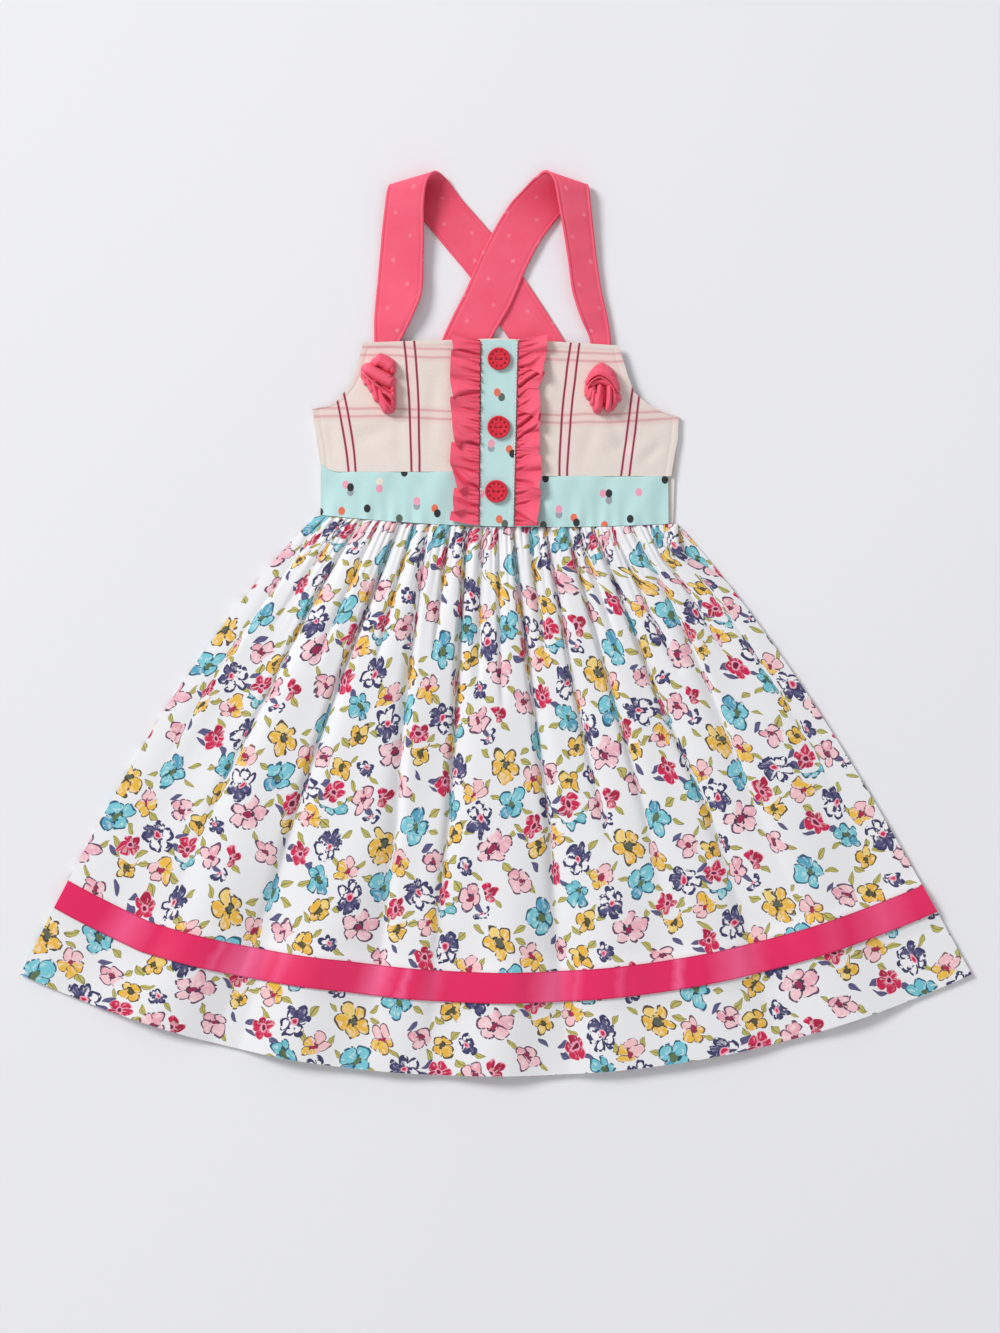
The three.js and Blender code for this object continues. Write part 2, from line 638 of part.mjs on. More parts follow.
function geometryOf(solid) {
  const { vertProperties, triVerts } = solid.getMesh();
  const geometry = new THREE.BufferGeometry();
  geometry.setAttribute("position", new THREE.BufferAttribute(vertProperties, 3));
  return geometry.setIndex(new THREE.BufferAttribute(triVerts, 1));
}

// A round button with a raised rim, two thread holes and a ring of small pits
function buttonGeometry() {
  const [r, h] = [BUTTON_RADIUS, BUTTON_HEIGHT];
  const rim = [
    [0, 0],
    [r - 1.2, 0],
    [r, 1],
    [r, h - 0.8],
    [r - 0.7, h],
    [r - 1.1, h],
    [r - 1.6, h - 0.6],
    [3.2, h - 0.5],
    [2.7, h - 0.9],
    [0, h - 0.9],
  ];
  const points = rim.map(([x, y]) => new THREE.Vector2(x, y));
  const blank = new THREE.LatheGeometry(points, BUTTON_ROUND).rotateX(Math.PI / 2);
  let button = solidOf(blank);
  const drill = (radius, depth, sides, x, y) => {
    const bit = new THREE.CylinderGeometry(radius, radius, depth, sides).rotateX(Math.PI / 2);
    return solidOf(bit.translate(x, y, h));
  };
  const { radius, apart, sides } = THREAD_HOLE;
  for (const side of [-1, 1]) button = button.subtract(drill(radius, 4 * h, sides, side * apart, 0));
  for (let k = 0; k < PIT.count; k++) {
    const turn = (2 * Math.PI * k) / PIT.count;
    const [x, y] = [PIT.ring * Math.cos(turn), PIT.ring * Math.sin(turn)];
    button = button.subtract(drill(PIT.radius, 2 * PIT.depth, PIT.sides, x, y));
  }
  return geometryOf(button);
}

function buttons() {
  for (const { name, x, y } of BUTTONS) {
    const base = frontTop(x) + 2 * LAYER_GAP + CLOTH;
    addPiece(name, buttonGeometry().translate(x, y, base), BUTTON_RED);
  }
}

backBodice();
backSkirt();
strap("strap_left", STRAP_LEFT, -1);
strap("strap_right", STRAP_RIGHT, 1);
yokes();
bands();
placket();
ruffles();
buttons();
for (const row of [KNOT_LEFT, KNOT_RIGHT]) addPiece(row.name, knot(row), CORAL);
frontSkirt();
ribbon();

export default dress;
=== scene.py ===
"""A toddler's sundress laid flat on a pale table, front up, seen from straight above."""

import math

import bpy
import numpy as np
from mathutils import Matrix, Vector


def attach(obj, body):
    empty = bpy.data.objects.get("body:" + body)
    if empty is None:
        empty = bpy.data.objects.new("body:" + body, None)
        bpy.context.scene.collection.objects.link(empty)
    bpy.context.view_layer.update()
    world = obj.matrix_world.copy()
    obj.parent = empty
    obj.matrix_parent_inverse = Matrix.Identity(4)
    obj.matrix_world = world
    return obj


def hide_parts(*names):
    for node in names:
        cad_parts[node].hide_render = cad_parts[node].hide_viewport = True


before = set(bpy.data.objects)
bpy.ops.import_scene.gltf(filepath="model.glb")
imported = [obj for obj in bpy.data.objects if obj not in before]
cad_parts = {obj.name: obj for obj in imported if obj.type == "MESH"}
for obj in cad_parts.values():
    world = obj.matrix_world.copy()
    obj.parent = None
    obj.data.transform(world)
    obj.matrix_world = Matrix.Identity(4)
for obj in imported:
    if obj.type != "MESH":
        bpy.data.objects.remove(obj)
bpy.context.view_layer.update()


# The table top, daylight and camera
# The dress lies on a smooth pale table under a large soft light from the upper left, and the camera looks
# straight down on it from a distance, as in the photo.
MM = 0.001
PICTURE_HEIGHT_MM = 893.1
PICTURE_MIDDLE_MM = (2.7, -28.5)
LENS_MM = 135.0
SENSOR_MM = 36.0
TABLE_COLOURS = ((0.87, 0.87, 0.90, 1.0), (0.84, 0.84, 0.87, 1.0))
TABLE_DOWN = 0.0006
SKY_COLOUR = (0.97, 0.975, 1.0, 1.0)
SKY_STRENGTH = 0.47
LAMPS = {
    # name: place, size across, power
    "Window": ((-4.3, 3.4, 4.1), 2.5, 352),
    "Fill": ((1.5, -1.2, 2.4), 2.5, 7),
}


class Field:
    """A number, vector or colour that a material works out at each place, to be used in plain sums."""

    def __init__(self, tree, socket):
        self.tree = tree
        self.socket = socket

    def math(self, operation, *others, clamp=False):
        return made(self.tree, "Math", (self,) + others, operation=operation, use_clamp=clamp)

    def vector(self, operation, *others):
        output = "Value" if operation in ("DISTANCE", "LENGTH") else "Vector"
        return made(self.tree, "VectorMath", (self,) + others, output, operation=operation)

    def apart(self):
        """Its three parts, as a list."""
        sockets = made(self.tree, "SeparateXYZ", (self,)).socket.node.outputs
        return [Field(self.tree, socket) for socket in sockets]

    def __add__(self, other):
        return self.math("ADD", other)

    def __sub__(self, other):
        return self.math("SUBTRACT", other)

    def __rsub__(self, other):
        return made(self.tree, "Math", (other, self), operation="SUBTRACT")

    def __mul__(self, other):
        return self.math("MULTIPLY", other)

    def __truediv__(self, other):
        return self.math("DIVIDE", other)

    def __mod__(self, other):
        return self.math("FLOORED_MODULO", other)

    def __pow__(self, other):
        return self.math("POWER", other)

    def __abs__(self):
        return self.math("ABSOLUTE")


def made(tree, kind, inputs, output=0, **settings):
    """What comes out of a new node with these settings and inputs."""
    node = tree.nodes.new("ShaderNode" + kind)
    for name, value in settings.items():
        setattr(node, name, value)
    named = inputs.items() if isinstance(inputs, dict) else enumerate(inputs)
    for key, value in named:
        plug(node.inputs[key], value)
    return Field(tree, node.outputs[output])


def surface(name, roughness, sheen=0.0):
    """A new material with its node tree and its shader."""
    material = bpy.data.materials.new(name)
    material.use_nodes = True
    shader = material.node_tree.nodes["Principled BSDF"]
    shader.inputs["Roughness"].default_value = roughness
    shader.inputs["Sheen Weight"].default_value = sheen
    return material, material.node_tree, shader


def plug(socket, value):
    """Sets a socket to a number or colour, or links a field to it."""
    if isinstance(value, Field):
        value.tree.links.new(value.socket, socket)
    elif hasattr(value, "__len__") and socket.type == "VECTOR":
        socket.default_value = tuple(value)[:3]
    else:
        socket.default_value = value


def mixed(share, first, second):
    """The first colour turning into the second as share goes from 0 to 1."""
    return made(share.tree, "Mix", {0: share, 6: first, 7: second}, 2, data_type="RGBA")


def noise(place, scale, detail=2.0, output="Fac"):
    return made(place.tree, "TexNoise", {"Vector": place, "Scale": scale, "Detail": detail}, output)


def object_place(tree):
    return made(tree, "TexCoord", (), "Object")


def table_top():
    material, tree, shader = surface("table_paint", roughness=0.55)
    plug(shader.inputs["Base Color"], mixed(noise(object_place(tree), 1.4), *TABLE_COLOURS))
    bpy.ops.mesh.primitive_plane_add(size=14, location=(0, 0, -TABLE_DOWN))
    table = bpy.context.object
    table.name = "Table_top"
    table.data.materials.append(material)


def lamp(name, place, size, power):
    """A round soft lamp that points at the middle of the dress."""
    data = bpy.data.lights.new(name, "AREA")
    data.shape = "DISK"
    data.size = size
    data.energy = power
    holder = bpy.data.objects.new(name, data)
    bpy.context.scene.collection.objects.link(holder)
    holder.location = place
    holder.rotation_mode = "QUATERNION"
    holder.rotation_quaternion = (-Vector(place)).to_track_quat("-Z", "Y")


def camera():
    """A long lens straight above. Its sensor spans the picture's longer side, which is its height."""
    data = bpy.data.cameras.new("Camera")
    data.lens = LENS_MM
    data.sensor_width = SENSOR_MM
    data.clip_end = 60
    holder = bpy.data.objects.new("Camera", data)
    bpy.context.scene.collection.objects.link(holder)
    away = LENS_MM / SENSOR_MM * PICTURE_HEIGHT_MM * MM
    holder.location = (PICTURE_MIDDLE_MM[0] * MM, PICTURE_MIDDLE_MM[1] * MM, away)
    bpy.context.scene.camera = holder


def daylight():
    world = bpy.data.worlds.new("Room")
    world.use_nodes = True
    sky = world.node_tree.nodes["Background"]
    sky.inputs["Color"].default_value = SKY_COLOUR
    sky.inputs["Strength"].default_value = SKY_STRENGTH
    bpy.context.scene.world = world
    for name, row in LAMPS.items():
        lamp(name, *row)
    bpy.context.scene.view_settings.view_transform = "Standard"


table_top()
camera()
daylight()


# The back of the skirt
# One gathered panel of off-white cotton with a scattered flower print, cut 640 by 366 mm. It lies flat on the
# table under the front, so its gathers are pressed out and only its edges show.
CLOTH_MM = 1.2
GAP_MM = 0.3
SKIRT_CUT_MM = (640.0, 366.0)
PRINT_ASIDE_MM = 31
WAIST_MIDDLE_MM = 1.0
WAIST_HALF_MM = 120.3
WAIST_Y_MM = 65.0
WAIST_TILT_MM = -2.85
WAIST_BOW_MM = 5.15
HEM_HALF_MM = 318.5
HEM_Y_MM = -302.5
HEM_BOW_MM = 68.0
HEM_BOW_POWER = 2.15
SIDE_SWELL_MM = (15.0, 10.5)
SWELL_OUT = 0.84
SWELL_UP = 0.543
RIBBON_FROM = 0.811
RIBBON_TO = 0.867
RIBBON_SAG_ACROSS = (-1.0, -0.8, -0.35, 0.0, 1.0)
RIBBON_SAG_MORE = (-0.003, 0.0125, -0.0035, 0.0, 0.0)
SAG_REACH = 0.13
RAMP = 0.021
RIBBON_CLOTH_MM = 1.0
SHARP_EDGE_DEGREES = 62

# The print: a half-drop repeat of painted flowers of ten kinds, with leaves between them
REPEAT_MM = (108.0, 118.0)
FLOWER_KINDS = {
    # kind: reach, petals, outline width, share of the second colour, heart, how whole the ring is
    "pink_large": (14.4, 5, 0.85, 0.30, 0.20, 0.56),
    "pink_small": (10.4, 4, 0.75, 0.25, 0.20, 0.54),
    "pink_mustard": (10.8, 5, 0.65, 0.55, 0.17, 0.56),
    "mustard_large": (14.0, 5, 0.85, 0.20, 0.19, 0.56),
    "mustard_small": (9.2, 4, 0.7, 0.20, 0.22, 0.55),
    "turquoise_large": (13.0, 4, 0.85, 0.16, 0.20, 0.50),
    "turquoise_small": (10.8, 5, 0.75, 0.14, 0.22, 0.50),
    "crimson": (9.4, 5, 0.4, 0.30, 0.20, 1.0),
    "navy": (11.8, 6, 1.5, 0.38, 0.14, 1.0),
    "navy_small": (6.6, 5, 1.25, 0.46, 0.22, 1.0),
}
FLOWER_COLOURS = {
    # kind: petals, second colour, outline, heart, ring round the heart
    "pink_large": ((244, 200, 206), (238, 178, 190), (98, 64, 92), (152, 38, 80), (58, 52, 76)),
    "pink_small": ((243, 196, 202), (236, 170, 182), (104, 70, 98), (146, 44, 76), (84, 56, 80)),
    "pink_mustard": ((244, 194, 198), (236, 188, 70), (118, 80, 84), (176, 30, 74), (120, 60, 80)),
    "mustard_large": ((235, 184, 66), (242, 208, 120), (86, 76, 66), (92, 98, 82), (58, 60, 58)),
    "mustard_small": ((232, 180, 60), (240, 204, 110), (92, 78, 56), (88, 84, 56), (64, 60, 48)),
    "turquoise_large": ((120, 198, 212), (80, 160, 190), (44, 92, 116), (94, 116, 80), (36, 72, 92)),
    "turquoise_small": ((110, 190, 204), (78, 156, 180), (46, 94, 114), (88, 104, 70), (40, 76, 88)),
    "crimson": ((202, 28, 78), (170, 16, 62), (236, 150, 172), (110, 12, 48), (238, 160, 184)),
    "navy": ((240, 238, 240), (82, 80, 122), (56, 56, 98), (200, 30, 76), (242, 170, 186)),
    "navy_small": ((238, 236, 240), (80, 78, 120), (56, 56, 98), (214, 60, 100), (240, 176, 190)),
}
PRINT_GROUND = (236, 236, 238)
PETAL_STREAK = (250, 246, 240)
LEAF_TONES = ((190, 180, 100), (98, 94, 50))
NAVY_LEAF_TONES = ((96, 94, 134), (56, 56, 98))
MOST_REACH_MM = 16.0
MOST_PETALS = 8.0
PRINT = [
    # across, down, kind, turn
    (0.0, 0.0, "pink_large", 0.05), (34.0, -1.0, "mustard_small", 0.7), (57.0, -7.0, "pink_mustard", 0.1),
    (71.5, -19.0, "turquoise_small", 0.55), (76.0, 9.0, "navy", 0.2), (56.0, 16.5, "crimson", 0.3),
    (21.5, 21.0, "pink_small", 0.4), (92.0, 23.0, "pink_mustard", 0.62),
    (73.0, 31.5, "turquoise_small", 0.85), (-3.5, 30.5, "crimson", 0.05), (-8.0, 43.0, "navy_small", 0.5),
    (98.0, 40.0, "navy", 0.78), (38.0, 47.0, "turquoise_large", 0.25), (7.0, 62.0, "mustard_large", 0.35),
    (78.0, 51.5, "mustard_small", 0.15),
    (29.5, 72.0, "pink_mustard", 0.82), (55.5, 69.0, "pink_small", 0.45), (71.0, 74.0, "mustard_small", 0.4),
    (89.0, 71.5, "navy_small", 0.9), (13.0, 89.0, "turquoise_large", 0.66), (46.0, 91.0, "navy", 0.45),
    (93.0, 93.0, "pink_small", 0.2), (69.5, 91.0, "crimson", 0.6), (30.0, 104.0, "crimson", 0.15),
]
LEAVES = [
    # across, down, lean
    (14.5, -10.0, -0.8), (24.0, -8.0, 0.9), (44.0, -7.0, -0.4), (68.0, -5.0, 0.3), (82.5, -25.0, -0.7),
    (86.5, 0.0, -0.8), (31.0, 28.0, 0.7), (12.0, 13.5, 0.8), (102.0, 17.0, -0.9),
    (83.0, 17.5, 0.9), (62.5, 36.0, -0.4), (-13.0, 27.0, 0.3), (5.0, 37.0, 0.8), (88.0, 48.0, 0.5),
    (50.5, 38.0, -0.5), (52.0, 51.0, 0.4), (-8.5, 54.5, 0.7), (21.5, 54.0, -0.5), (22.5, 61.5, 0.4),
    (83.5, 44.0, -0.8), (70.0, 57.0, 0.9), (38.0, 80.0, 0.6), (64.0, 61.0, -1.0), (79.5, 67.0, -0.7),
    (63.0, 81.0, 1.2), (97.5, 78.0, 0.5), (1.0, 84.0, 0.3), (25.5, 93.0, 0.4), (58.5, 97.0, 0.5),
    (84.0, 85.0, 0.8), (78.0, 98.0, 0.3), (20.0, 104.0, 0.6), (40.0, 106.0, -0.6), (55.0, 6.5, 0.8),
]
NAVY_LEAVES = [
    # beside the crimson flowers
    (48.0, 21.5, 0.5), (46.8, 14.6, -0.4), (61.5, 86.0, -0.5), (61.0, 94.0, 0.6), (-11.5, 34.0, 0.4),
    (21.5, 109.5, 0.5), (33.5, 12.5, 0.9), (64.5, 24.0, 0.6), (48.5, 61.5, -0.6), (98.5, 99.0, 0.7),
]
LEAF_REACH_MM = 5.0
LEAF_HALF_MM = 4.9
LEAF_SWELL_MM = 2.25


def linear(colour):
    """A colour given as 0 to 255 on a screen, as the renderer's own linear colour."""
    parts = [value / 255.0 for value in colour]
    return tuple(p / 12.92 if p <= 0.04045 else ((p + 0.055) / 1.055) ** 2.4 for p in parts) + (1.0,)


def copies_that_show(x, y, reach):
    """The same motif wherever the repeat brings it into the charted tile."""
    width, height = REPEAT_MM
    for column in (-1, 0, 1):
        for row in (-2, -1, 0, 1, 2):
            cx = x + column * width
            cy = y + column * height / 2 + row * height
            if -reach < cx < width + reach and -reach < cy < height + reach:
                yield cx, cy


def scattered(cell, rows):
    """For the motif that covers this place: the way here from its middle, and its number."""
    found = (0.0, 0.0, 0.0)
    for cx, cy, number, reach in rows:
        inside = cell.vector("DISTANCE", (cx, cy, 0.0)).math("LESS_THAN", reach)
        found = made(cell.tree, "Mix", {0: inside, 4: found, 5: (cx, cy, number)}, 1, data_type="VECTOR")
    middle = found.vector("MULTIPLY", (1.0, 1.0, 0.0))
    return cell.vector("SUBTRACT", middle), found.apart()[2]


def together(tree, *values):
    return made(tree, "CombineXYZ", values)


def turned_by(vector, angle):
    return made(vector.tree, "VectorRotate", {"Vector": vector, "Angle": angle}, rotation_type="Z_AXIS")


def by_kind(kind, colours):
    """A colour for each kind, from a ramp of plain steps."""
    steps = made(kind.tree, "ValToRGB", ((kind + 0.5) / len(colours),), "Color")
    ramp = steps.socket.node.color_ramp
    ramp.interpolation = "CONSTANT"
    while len(ramp.elements) < len(colours):
        ramp.elements.new(0.5)
    for k, colour in enumerate(colours):
        ramp.elements[k].position = k / len(colours)
        ramp.elements[k].color = colour
    return steps


def soft_less(value, limit, soft):
    """1 where value is well under the limit and 0 over it, with a soft change below the limit."""
    return (limit - value).math("DIVIDE", soft, clamp=True)


def half_drop_cell(place):
    """Folds a place on the cloth into the charted tile."""
    width, height = REPEAT_MM
    across, down, _ = place.apart()
    column = (across / width).math("FLOOR")
    dropped = down - column * (height / 2)
    return together(place.tree, across - column * width, dropped % height)


def leaf_paint(cell, rough, under, leaves, light, dark):
    """Pointed leaves with a darker rib and a broken edge."""
    # Each lean has 2 added to it, because 0 stands for no leaf
    rows = []
    for x, y, lean in leaves:
        rows += [(cx, cy, lean + 2.0, LEAF_REACH_MM) for cx, cy in copies_that_show(x, y, LEAF_REACH_MM)]
    way, lean = scattered(cell, rows)
    x, y, _ = turned_by(way, 2.0 - lean).apart()
    swell = (1.0 - (abs(x) / LEAF_HALF_MM) ** 1.7) * LEAF_SWELL_MM
    from_edge = swell - abs(y)
    covers = soft_less(0.0, from_edge, 0.3) * lean.math("GREATER_THAN", 0.5)
    rib = soft_less(abs(y + 0.2), 0.3, 0.25)
    rim = soft_less(from_edge, 0.6, 0.2) * soft_less(rough, 0.6, 0.06)
    painted = mixed(rib.math("MAXIMUM", rim), linear(light), linear(dark))
    return mixed(covers, under, painted)


def flower_paint(cell, rough, under):
    """Loosely painted petals in two tones, with a broken outline, a heart and a ring round it."""
    # A flower's number is its kind, from 1 up, with its turn behind the point
    rows = []
    for x, y, kind, turn in PRINT:
        reach = FLOWER_KINDS[kind][0] * 1.12
        number = list(FLOWER_KINDS).index(kind) + 1 + 0.98 * turn
        rows += [(cx, cy, number, reach) for cx, cy in copies_that_show(x, y, reach)]
    way, number = scattered(cell, rows)
    kind = number.math("FLOOR")
    turn = number.math("FRACT") * (2 * math.pi)
    is_flower = number.math("GREATER_THAN", 0.5)

    forms = [(0, 0, 0, 1)]
    details = [(0, 0, 0, 1)]
    for reach, petals, outline, second, heart, ring in FLOWER_KINDS.values():
        forms.append((reach / MOST_REACH_MM, petals / MOST_PETALS, outline, 1))
        details.append((second, heart, ring, 1))
    size, petals, outline = by_kind(kind, forms).apart()
    second_share, heart_share, ring_whole = by_kind(kind, details).apart()
    size = size * MOST_REACH_MM

    # Every flower is a little longer one way than the other
    local = turned_by(way, turn).vector("MULTIPLY", (0.9, 1.12, 0.0))
    x, y, _ = local.apart()
    angle = y.math("ARCTAN2", x)
    away = local.vector("LENGTH")
    half_turns = petals * (MOST_PETALS / 2)
    wave = abs((angle * half_turns).math("COSINE"))
    uneven = (angle + turn).math("COSINE") * 0.1 + 0.9
    reach = size * (wave**0.5 * 0.48 + 0.5) * uneven
    share = away / reach.math("MAXIMUM", 0.1)
    petal = soft_less(share, 0.97, 0.05) * is_flower

    streak = soft_less(0.53, noise(together(cell.tree, angle * 1.5, away * 0.1, number), 2.4), 0.1)
    second = soft_less(1.0 - second_share * 2.0, angle.math("COSINE"), 0.12)
    rim = soft_less(abs((share - 0.96) * reach), outline, 0.3) * soft_less(rough, 0.62, 0.05) * is_flower
    parting = soft_less(wave * (away / half_turns), outline * 0.9, 0.3) * soft_less(rough, 0.54, 0.05)
    parting = parting * is_flower * share.math("LESS_THAN", 1.2) * away.math("LESS_THAN", size * 0.6)
    heart_reach = size * heart_share
    heart = soft_less(away, heart_reach, 0.5) * is_flower
    ring = soft_less(away, heart_reach * 1.55, 0.4) * soft_less(rough, ring_whole, 0.06) * is_flower

    def paint(column):
        colours = [linear(row[column]) for row in FLOWER_COLOURS.values()]
        return by_kind(kind, [linear(PRINT_GROUND)] + colours)

    fill = mixed(second, paint(0), paint(1))
    fill = mixed(streak * 0.42, fill, linear(PETAL_STREAK))
    colour = mixed(petal, under, fill)
    colour = mixed(rim.math("MAXIMUM", parting), colour, paint(2))
    colour = mixed(ring, colour, paint(4))
    return mixed(heart, colour, paint(3))


def flower_print(place):
    """The colour of the printed cotton at a place on the cut cloth."""
    wander = noise(place, 0.13, detail=0.0, output="Color").vector("SUBTRACT", (0.5, 0.5, 0.5))
    cell = half_drop_cell(place.vector("ADD", wander.vector("MULTIPLY", (5.5, 5.5, 0.0))))
    rough = noise(place, 0.3, detail=1.0)
    leaves = leaf_paint(cell, rough, linear(PRINT_GROUND), LEAVES, *LEAF_TONES)
    leaves = leaf_paint(cell, rough, leaves, NAVY_LEAVES, *NAVY_LEAF_TONES)
    return flower_paint(cell, rough, leaves)


def woven(name, colour_at, roughness, sheen, relief):
    """A cloth material: its colour at each place on the cut cloth, and its weave's relief in metres."""
    material, tree, shader = surface(name, roughness, sheen)
    place = made(tree, "UVMap", (), "UV", uv_map="cloth")
    plug(shader.inputs["Base Color"], colour_at(place))
    bump = made(tree, "Bump", {"Distance": relief, "Height": noise(place, 0.9, detail=3.0)}, "Normal")
    plug(shader.inputs["Normal"], bump)
    return material


floral = woven("floral_cotton_print", flower_print, roughness=0.85, sheen=0.1, relief=0.00012)


def waist_y(across):
    return WAIST_Y_MM + WAIST_TILT_MM * across + WAIST_BOW_MM * across**2


def lift_over(t):
    """How far the ribbon on the back lifts the cloth above it."""
    outside = np.maximum(np.maximum(RIBBON_FROM - t, t - RIBBON_TO), 0)
    return (RIBBON_CLOTH_MM + GAP_MM) * np.maximum(0, 1 - outside / RAMP)


def skirt_place(across, even):
    """A place on the skirt: across is -1 to 1 between the side seams, even 0 to 1 from the waist down."""
    near = np.maximum(0, 1 - np.abs(even - (RIBBON_FROM + RIBBON_TO) / 2) / SAG_REACH)
    t = even + np.minimum(1, 2 * near) * np.interp(across, RIBBON_SAG_ACROSS, RIBBON_SAG_MORE)
    waist_x = WAIST_MIDDLE_MM + WAIST_HALF_MM * across
    top_y = waist_y(across) - GAP_MM / 2
    hem_y = HEM_Y_MM + HEM_BOW_MM * np.abs(across) ** HEM_BOW_POWER
    side = np.where(across < 0, SIDE_SWELL_MM[0], SIDE_SWELL_MM[1])
    swell = side * np.sin(np.pi * np.clip(t, 0, 1) ** 0.8) * across**2
    x = waist_x + (HEM_HALF_MM * across - waist_x) * t + np.sign(across) * SWELL_OUT * swell
    y = top_y + (hem_y - top_y) * t + SWELL_UP * swell
    return x, y


# Keeps each point's share of painted shade, for the coral colours to read
def keep_painted_shade(mesh, deep):
    layer = mesh.attributes.new("deep", "FLOAT", "POINT")
    layer.data.foreach_set("value", np.clip(deep, 0, 1).astype(np.float32))


def cloth(name, top, low, place, material, node, deep=None):
    """A closed thin shell from two grids of points in millimetres.

    place is each point's place on the cut cloth, and deep how much painted shade its colour gets for lying in
    a fold's shade, from 0 to 1.
    """
    rows, columns = top[0].shape
    count = rows * columns
    points = np.concatenate([np.stack(side, -1).reshape(-1, 3) for side in (top, low)]) * MM
    grid = np.arange(count).reshape(rows, columns)
    corners = (grid[:-1, :-1], grid[1:, :-1], grid[1:, 1:], grid[:-1, 1:])
    upper = np.stack(corners, -1).reshape(-1, 4)
    lower = upper[:, ::-1] + count
    edge = np.concatenate([grid[:, 0], grid[-1, 1:], grid[-2::-1, -1], grid[0, -2:0:-1]])
    following = np.roll(edge, -1)
    rim = np.stack([following, edge, edge + count, following + count], -1)
    faces = np.concatenate([upper, lower, rim])
    mesh = bpy.data.meshes.new(name)
    mesh.from_pydata(points.tolist(), [], faces.tolist())
    uv = np.stack([grid_of.reshape(-1) for grid_of in place], -1)
    layer = mesh.uv_layers.new(name="cloth")
    layer.data.foreach_set("uv", uv[faces.reshape(-1) % count].reshape(-1).astype(np.float32))
    if deep is not None:
        keep_painted_shade(mesh, np.tile(deep.reshape(-1), 2))
    mesh.shade_smooth()
    mesh.set_sharp_from_angle(angle=math.radians(SHARP_EDGE_DEGREES))
    mesh.materials.append(material)
    piece = bpy.data.objects.new(name, mesh)
    bpy.context.scene.collection.objects.link(piece)
    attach(piece, "root")
    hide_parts(*node)
    return piece


def below(top, thickness):
    return top[0], top[1], top[2] - thickness


def back_skirt():
    across, t = np.meshgrid(np.linspace(-1, 1, 81), np.linspace(0, 1, 60))
    x, y = skirt_place(across, t)
    top = (x, y, CLOTH_MM + lift_over(t))
    place = (across * SKIRT_CUT_MM[0] / 2 + PRINT_ASIDE_MM, t * SKIRT_CUT_MM[1])
    low = below(top, CLOTH_MM)
    piece = cloth("Back_skirt_panel", top, low, place, floral, ["back_skirt"])


back_skirt()


# The ribbon on the back of the skirt
# The same pink satin ribbon as on the front, sewn round the back before the side seams were closed. Only its
# ends show, at the two side seams.
RIBBON_WIDE_MM = 20.5
RIBBON_HALF_MM = 312
SATIN_TONES = ((220, 26, 84), (238, 48, 108))
# A pale pink painted into the satin as highlights, in the bands listed below
SATIN_PAINTED_HIGHLIGHT_PINK = (255, 118, 168)
SATIN_STITCHED = (160, 12, 62)
SATIN_PAINTED_HIGHLIGHTS = [
    # place along the ribbon, half width, strength
    (53, 11, 0.55), (117, 3, 0.5), (137, 12, 0.9), (161, 4, 0.35), (230, 9, 0.75), (250, 3, 0.6),
    (271, 6, 0.3), (358, 11, 0.7), (375, 4, 0.4), (407, 3, 0.35), (449, 3.5, 0.75), (492, 14, 0.65),
    (559, 7, 0.2), (595, 14, 0.4),
]


def satin_colour(place):
    """Painted highlights: the satin's colour is paler in soft bands across the ribbon at listed places, where
    it bends towards the light.
    """
    along, across, _ = place.apart()
    slanted = noise(place, 0.12, detail=1.0) * 6.0 + (across * 0.2 + along)
    # Painted highlights: soft pale bands at the listed places along the ribbon
    light = 0.0
    for at, half, strength in SATIN_PAINTED_HIGHLIGHTS:
        band = soft_less(abs(slanted - at), 1.7 * half, 1.7 * half) * strength
        light = band.math("MAXIMUM", light)
    bands = noise(place.vector("MULTIPLY", (0.035, 0.006, 0.0)), 1.0)
    fine = noise(place.vector("MULTIPLY", (0.4, 4.0, 0.0)), 1.0, detail=1.0)
    colour = mixed(fine * 0.18 + bands * 0.9, *map(linear, SATIN_TONES))
    colour = mixed(light * 0.85, colour, linear(SATIN_PAINTED_HIGHLIGHT_PINK))
    stitched = soft_less(RIBBON_WIDE_MM / 2 - 1.1, abs(across - RIBBON_WIDE_MM / 2), 0.5)
    return mixed(stitched * 0.4, colour, linear(SATIN_STITCHED))


satin = woven("pink_satin", satin_colour, roughness=0.42, sheen=0.0, relief=0.00005)
satin_shader = satin.node_tree.nodes["Principled BSDF"]
satin_shader.inputs["Specular IOR Level"].default_value = 0.35
satin_shader.inputs["Anisotropic"].default_value = 0.5


def ribbon_back():
    across, t = np.meshgrid(np.linspace(-1, 1, 81), np.linspace(RIBBON_FROM + 0.001, RIBBON_TO - 0.001, 6))
    x, y = skirt_place(across, t)
    top = (x, y, np.full_like(x, RIBBON_CLOTH_MM))
    place = (across * RIBBON_HALF_MM, (t - RIBBON_FROM) * SKIRT_CUT_MM[1])
    low = below(top, RIBBON_CLOTH_MM)
    piece = cloth("Ribbon_on_back", top, low, place, satin, ["ribbon_back"])


ribbon_back()


# The back of the bodice
# One plain panel of the cream windowpane cotton, mostly hidden. A few millimetres of it show past the right
# side seam of the waistband.
YOKE_LINES = [
    # x at y 190, at y 145 and at y 100
    (-117.0, -105.3, -98.4), (-112.0, -99.8, -93.7), (-61.6, -57.9, -56.3), (-54.8, -51.8, -51.0),
    (50.5, 44.7, 42.7), (56.3, 50.8, 47.8), (97.0, 89.8, 83.6), (101.5, 95.0, 89.2),
]
YOKE_CROSS_LINES = [
    # y at x 0, slope, depth of its long wave
    (183.0, -0.018, 0.6), (177.6, -0.018, 0.6), (142.3, 0.0, 2.2), (137.1, 0.0, 2.2),
]
CROSS_WAVE_MM = 45.0
CREAM_TONES = ((237, 226, 217), (228, 215, 206))
STRIPE_PINK = (244, 206, 208)
LINE_CRIMSON = (148, 44, 70)
CROSS_STRIPE_PINK = (236, 196, 194)
CROSS_LINE_PINK = (212, 148, 152)


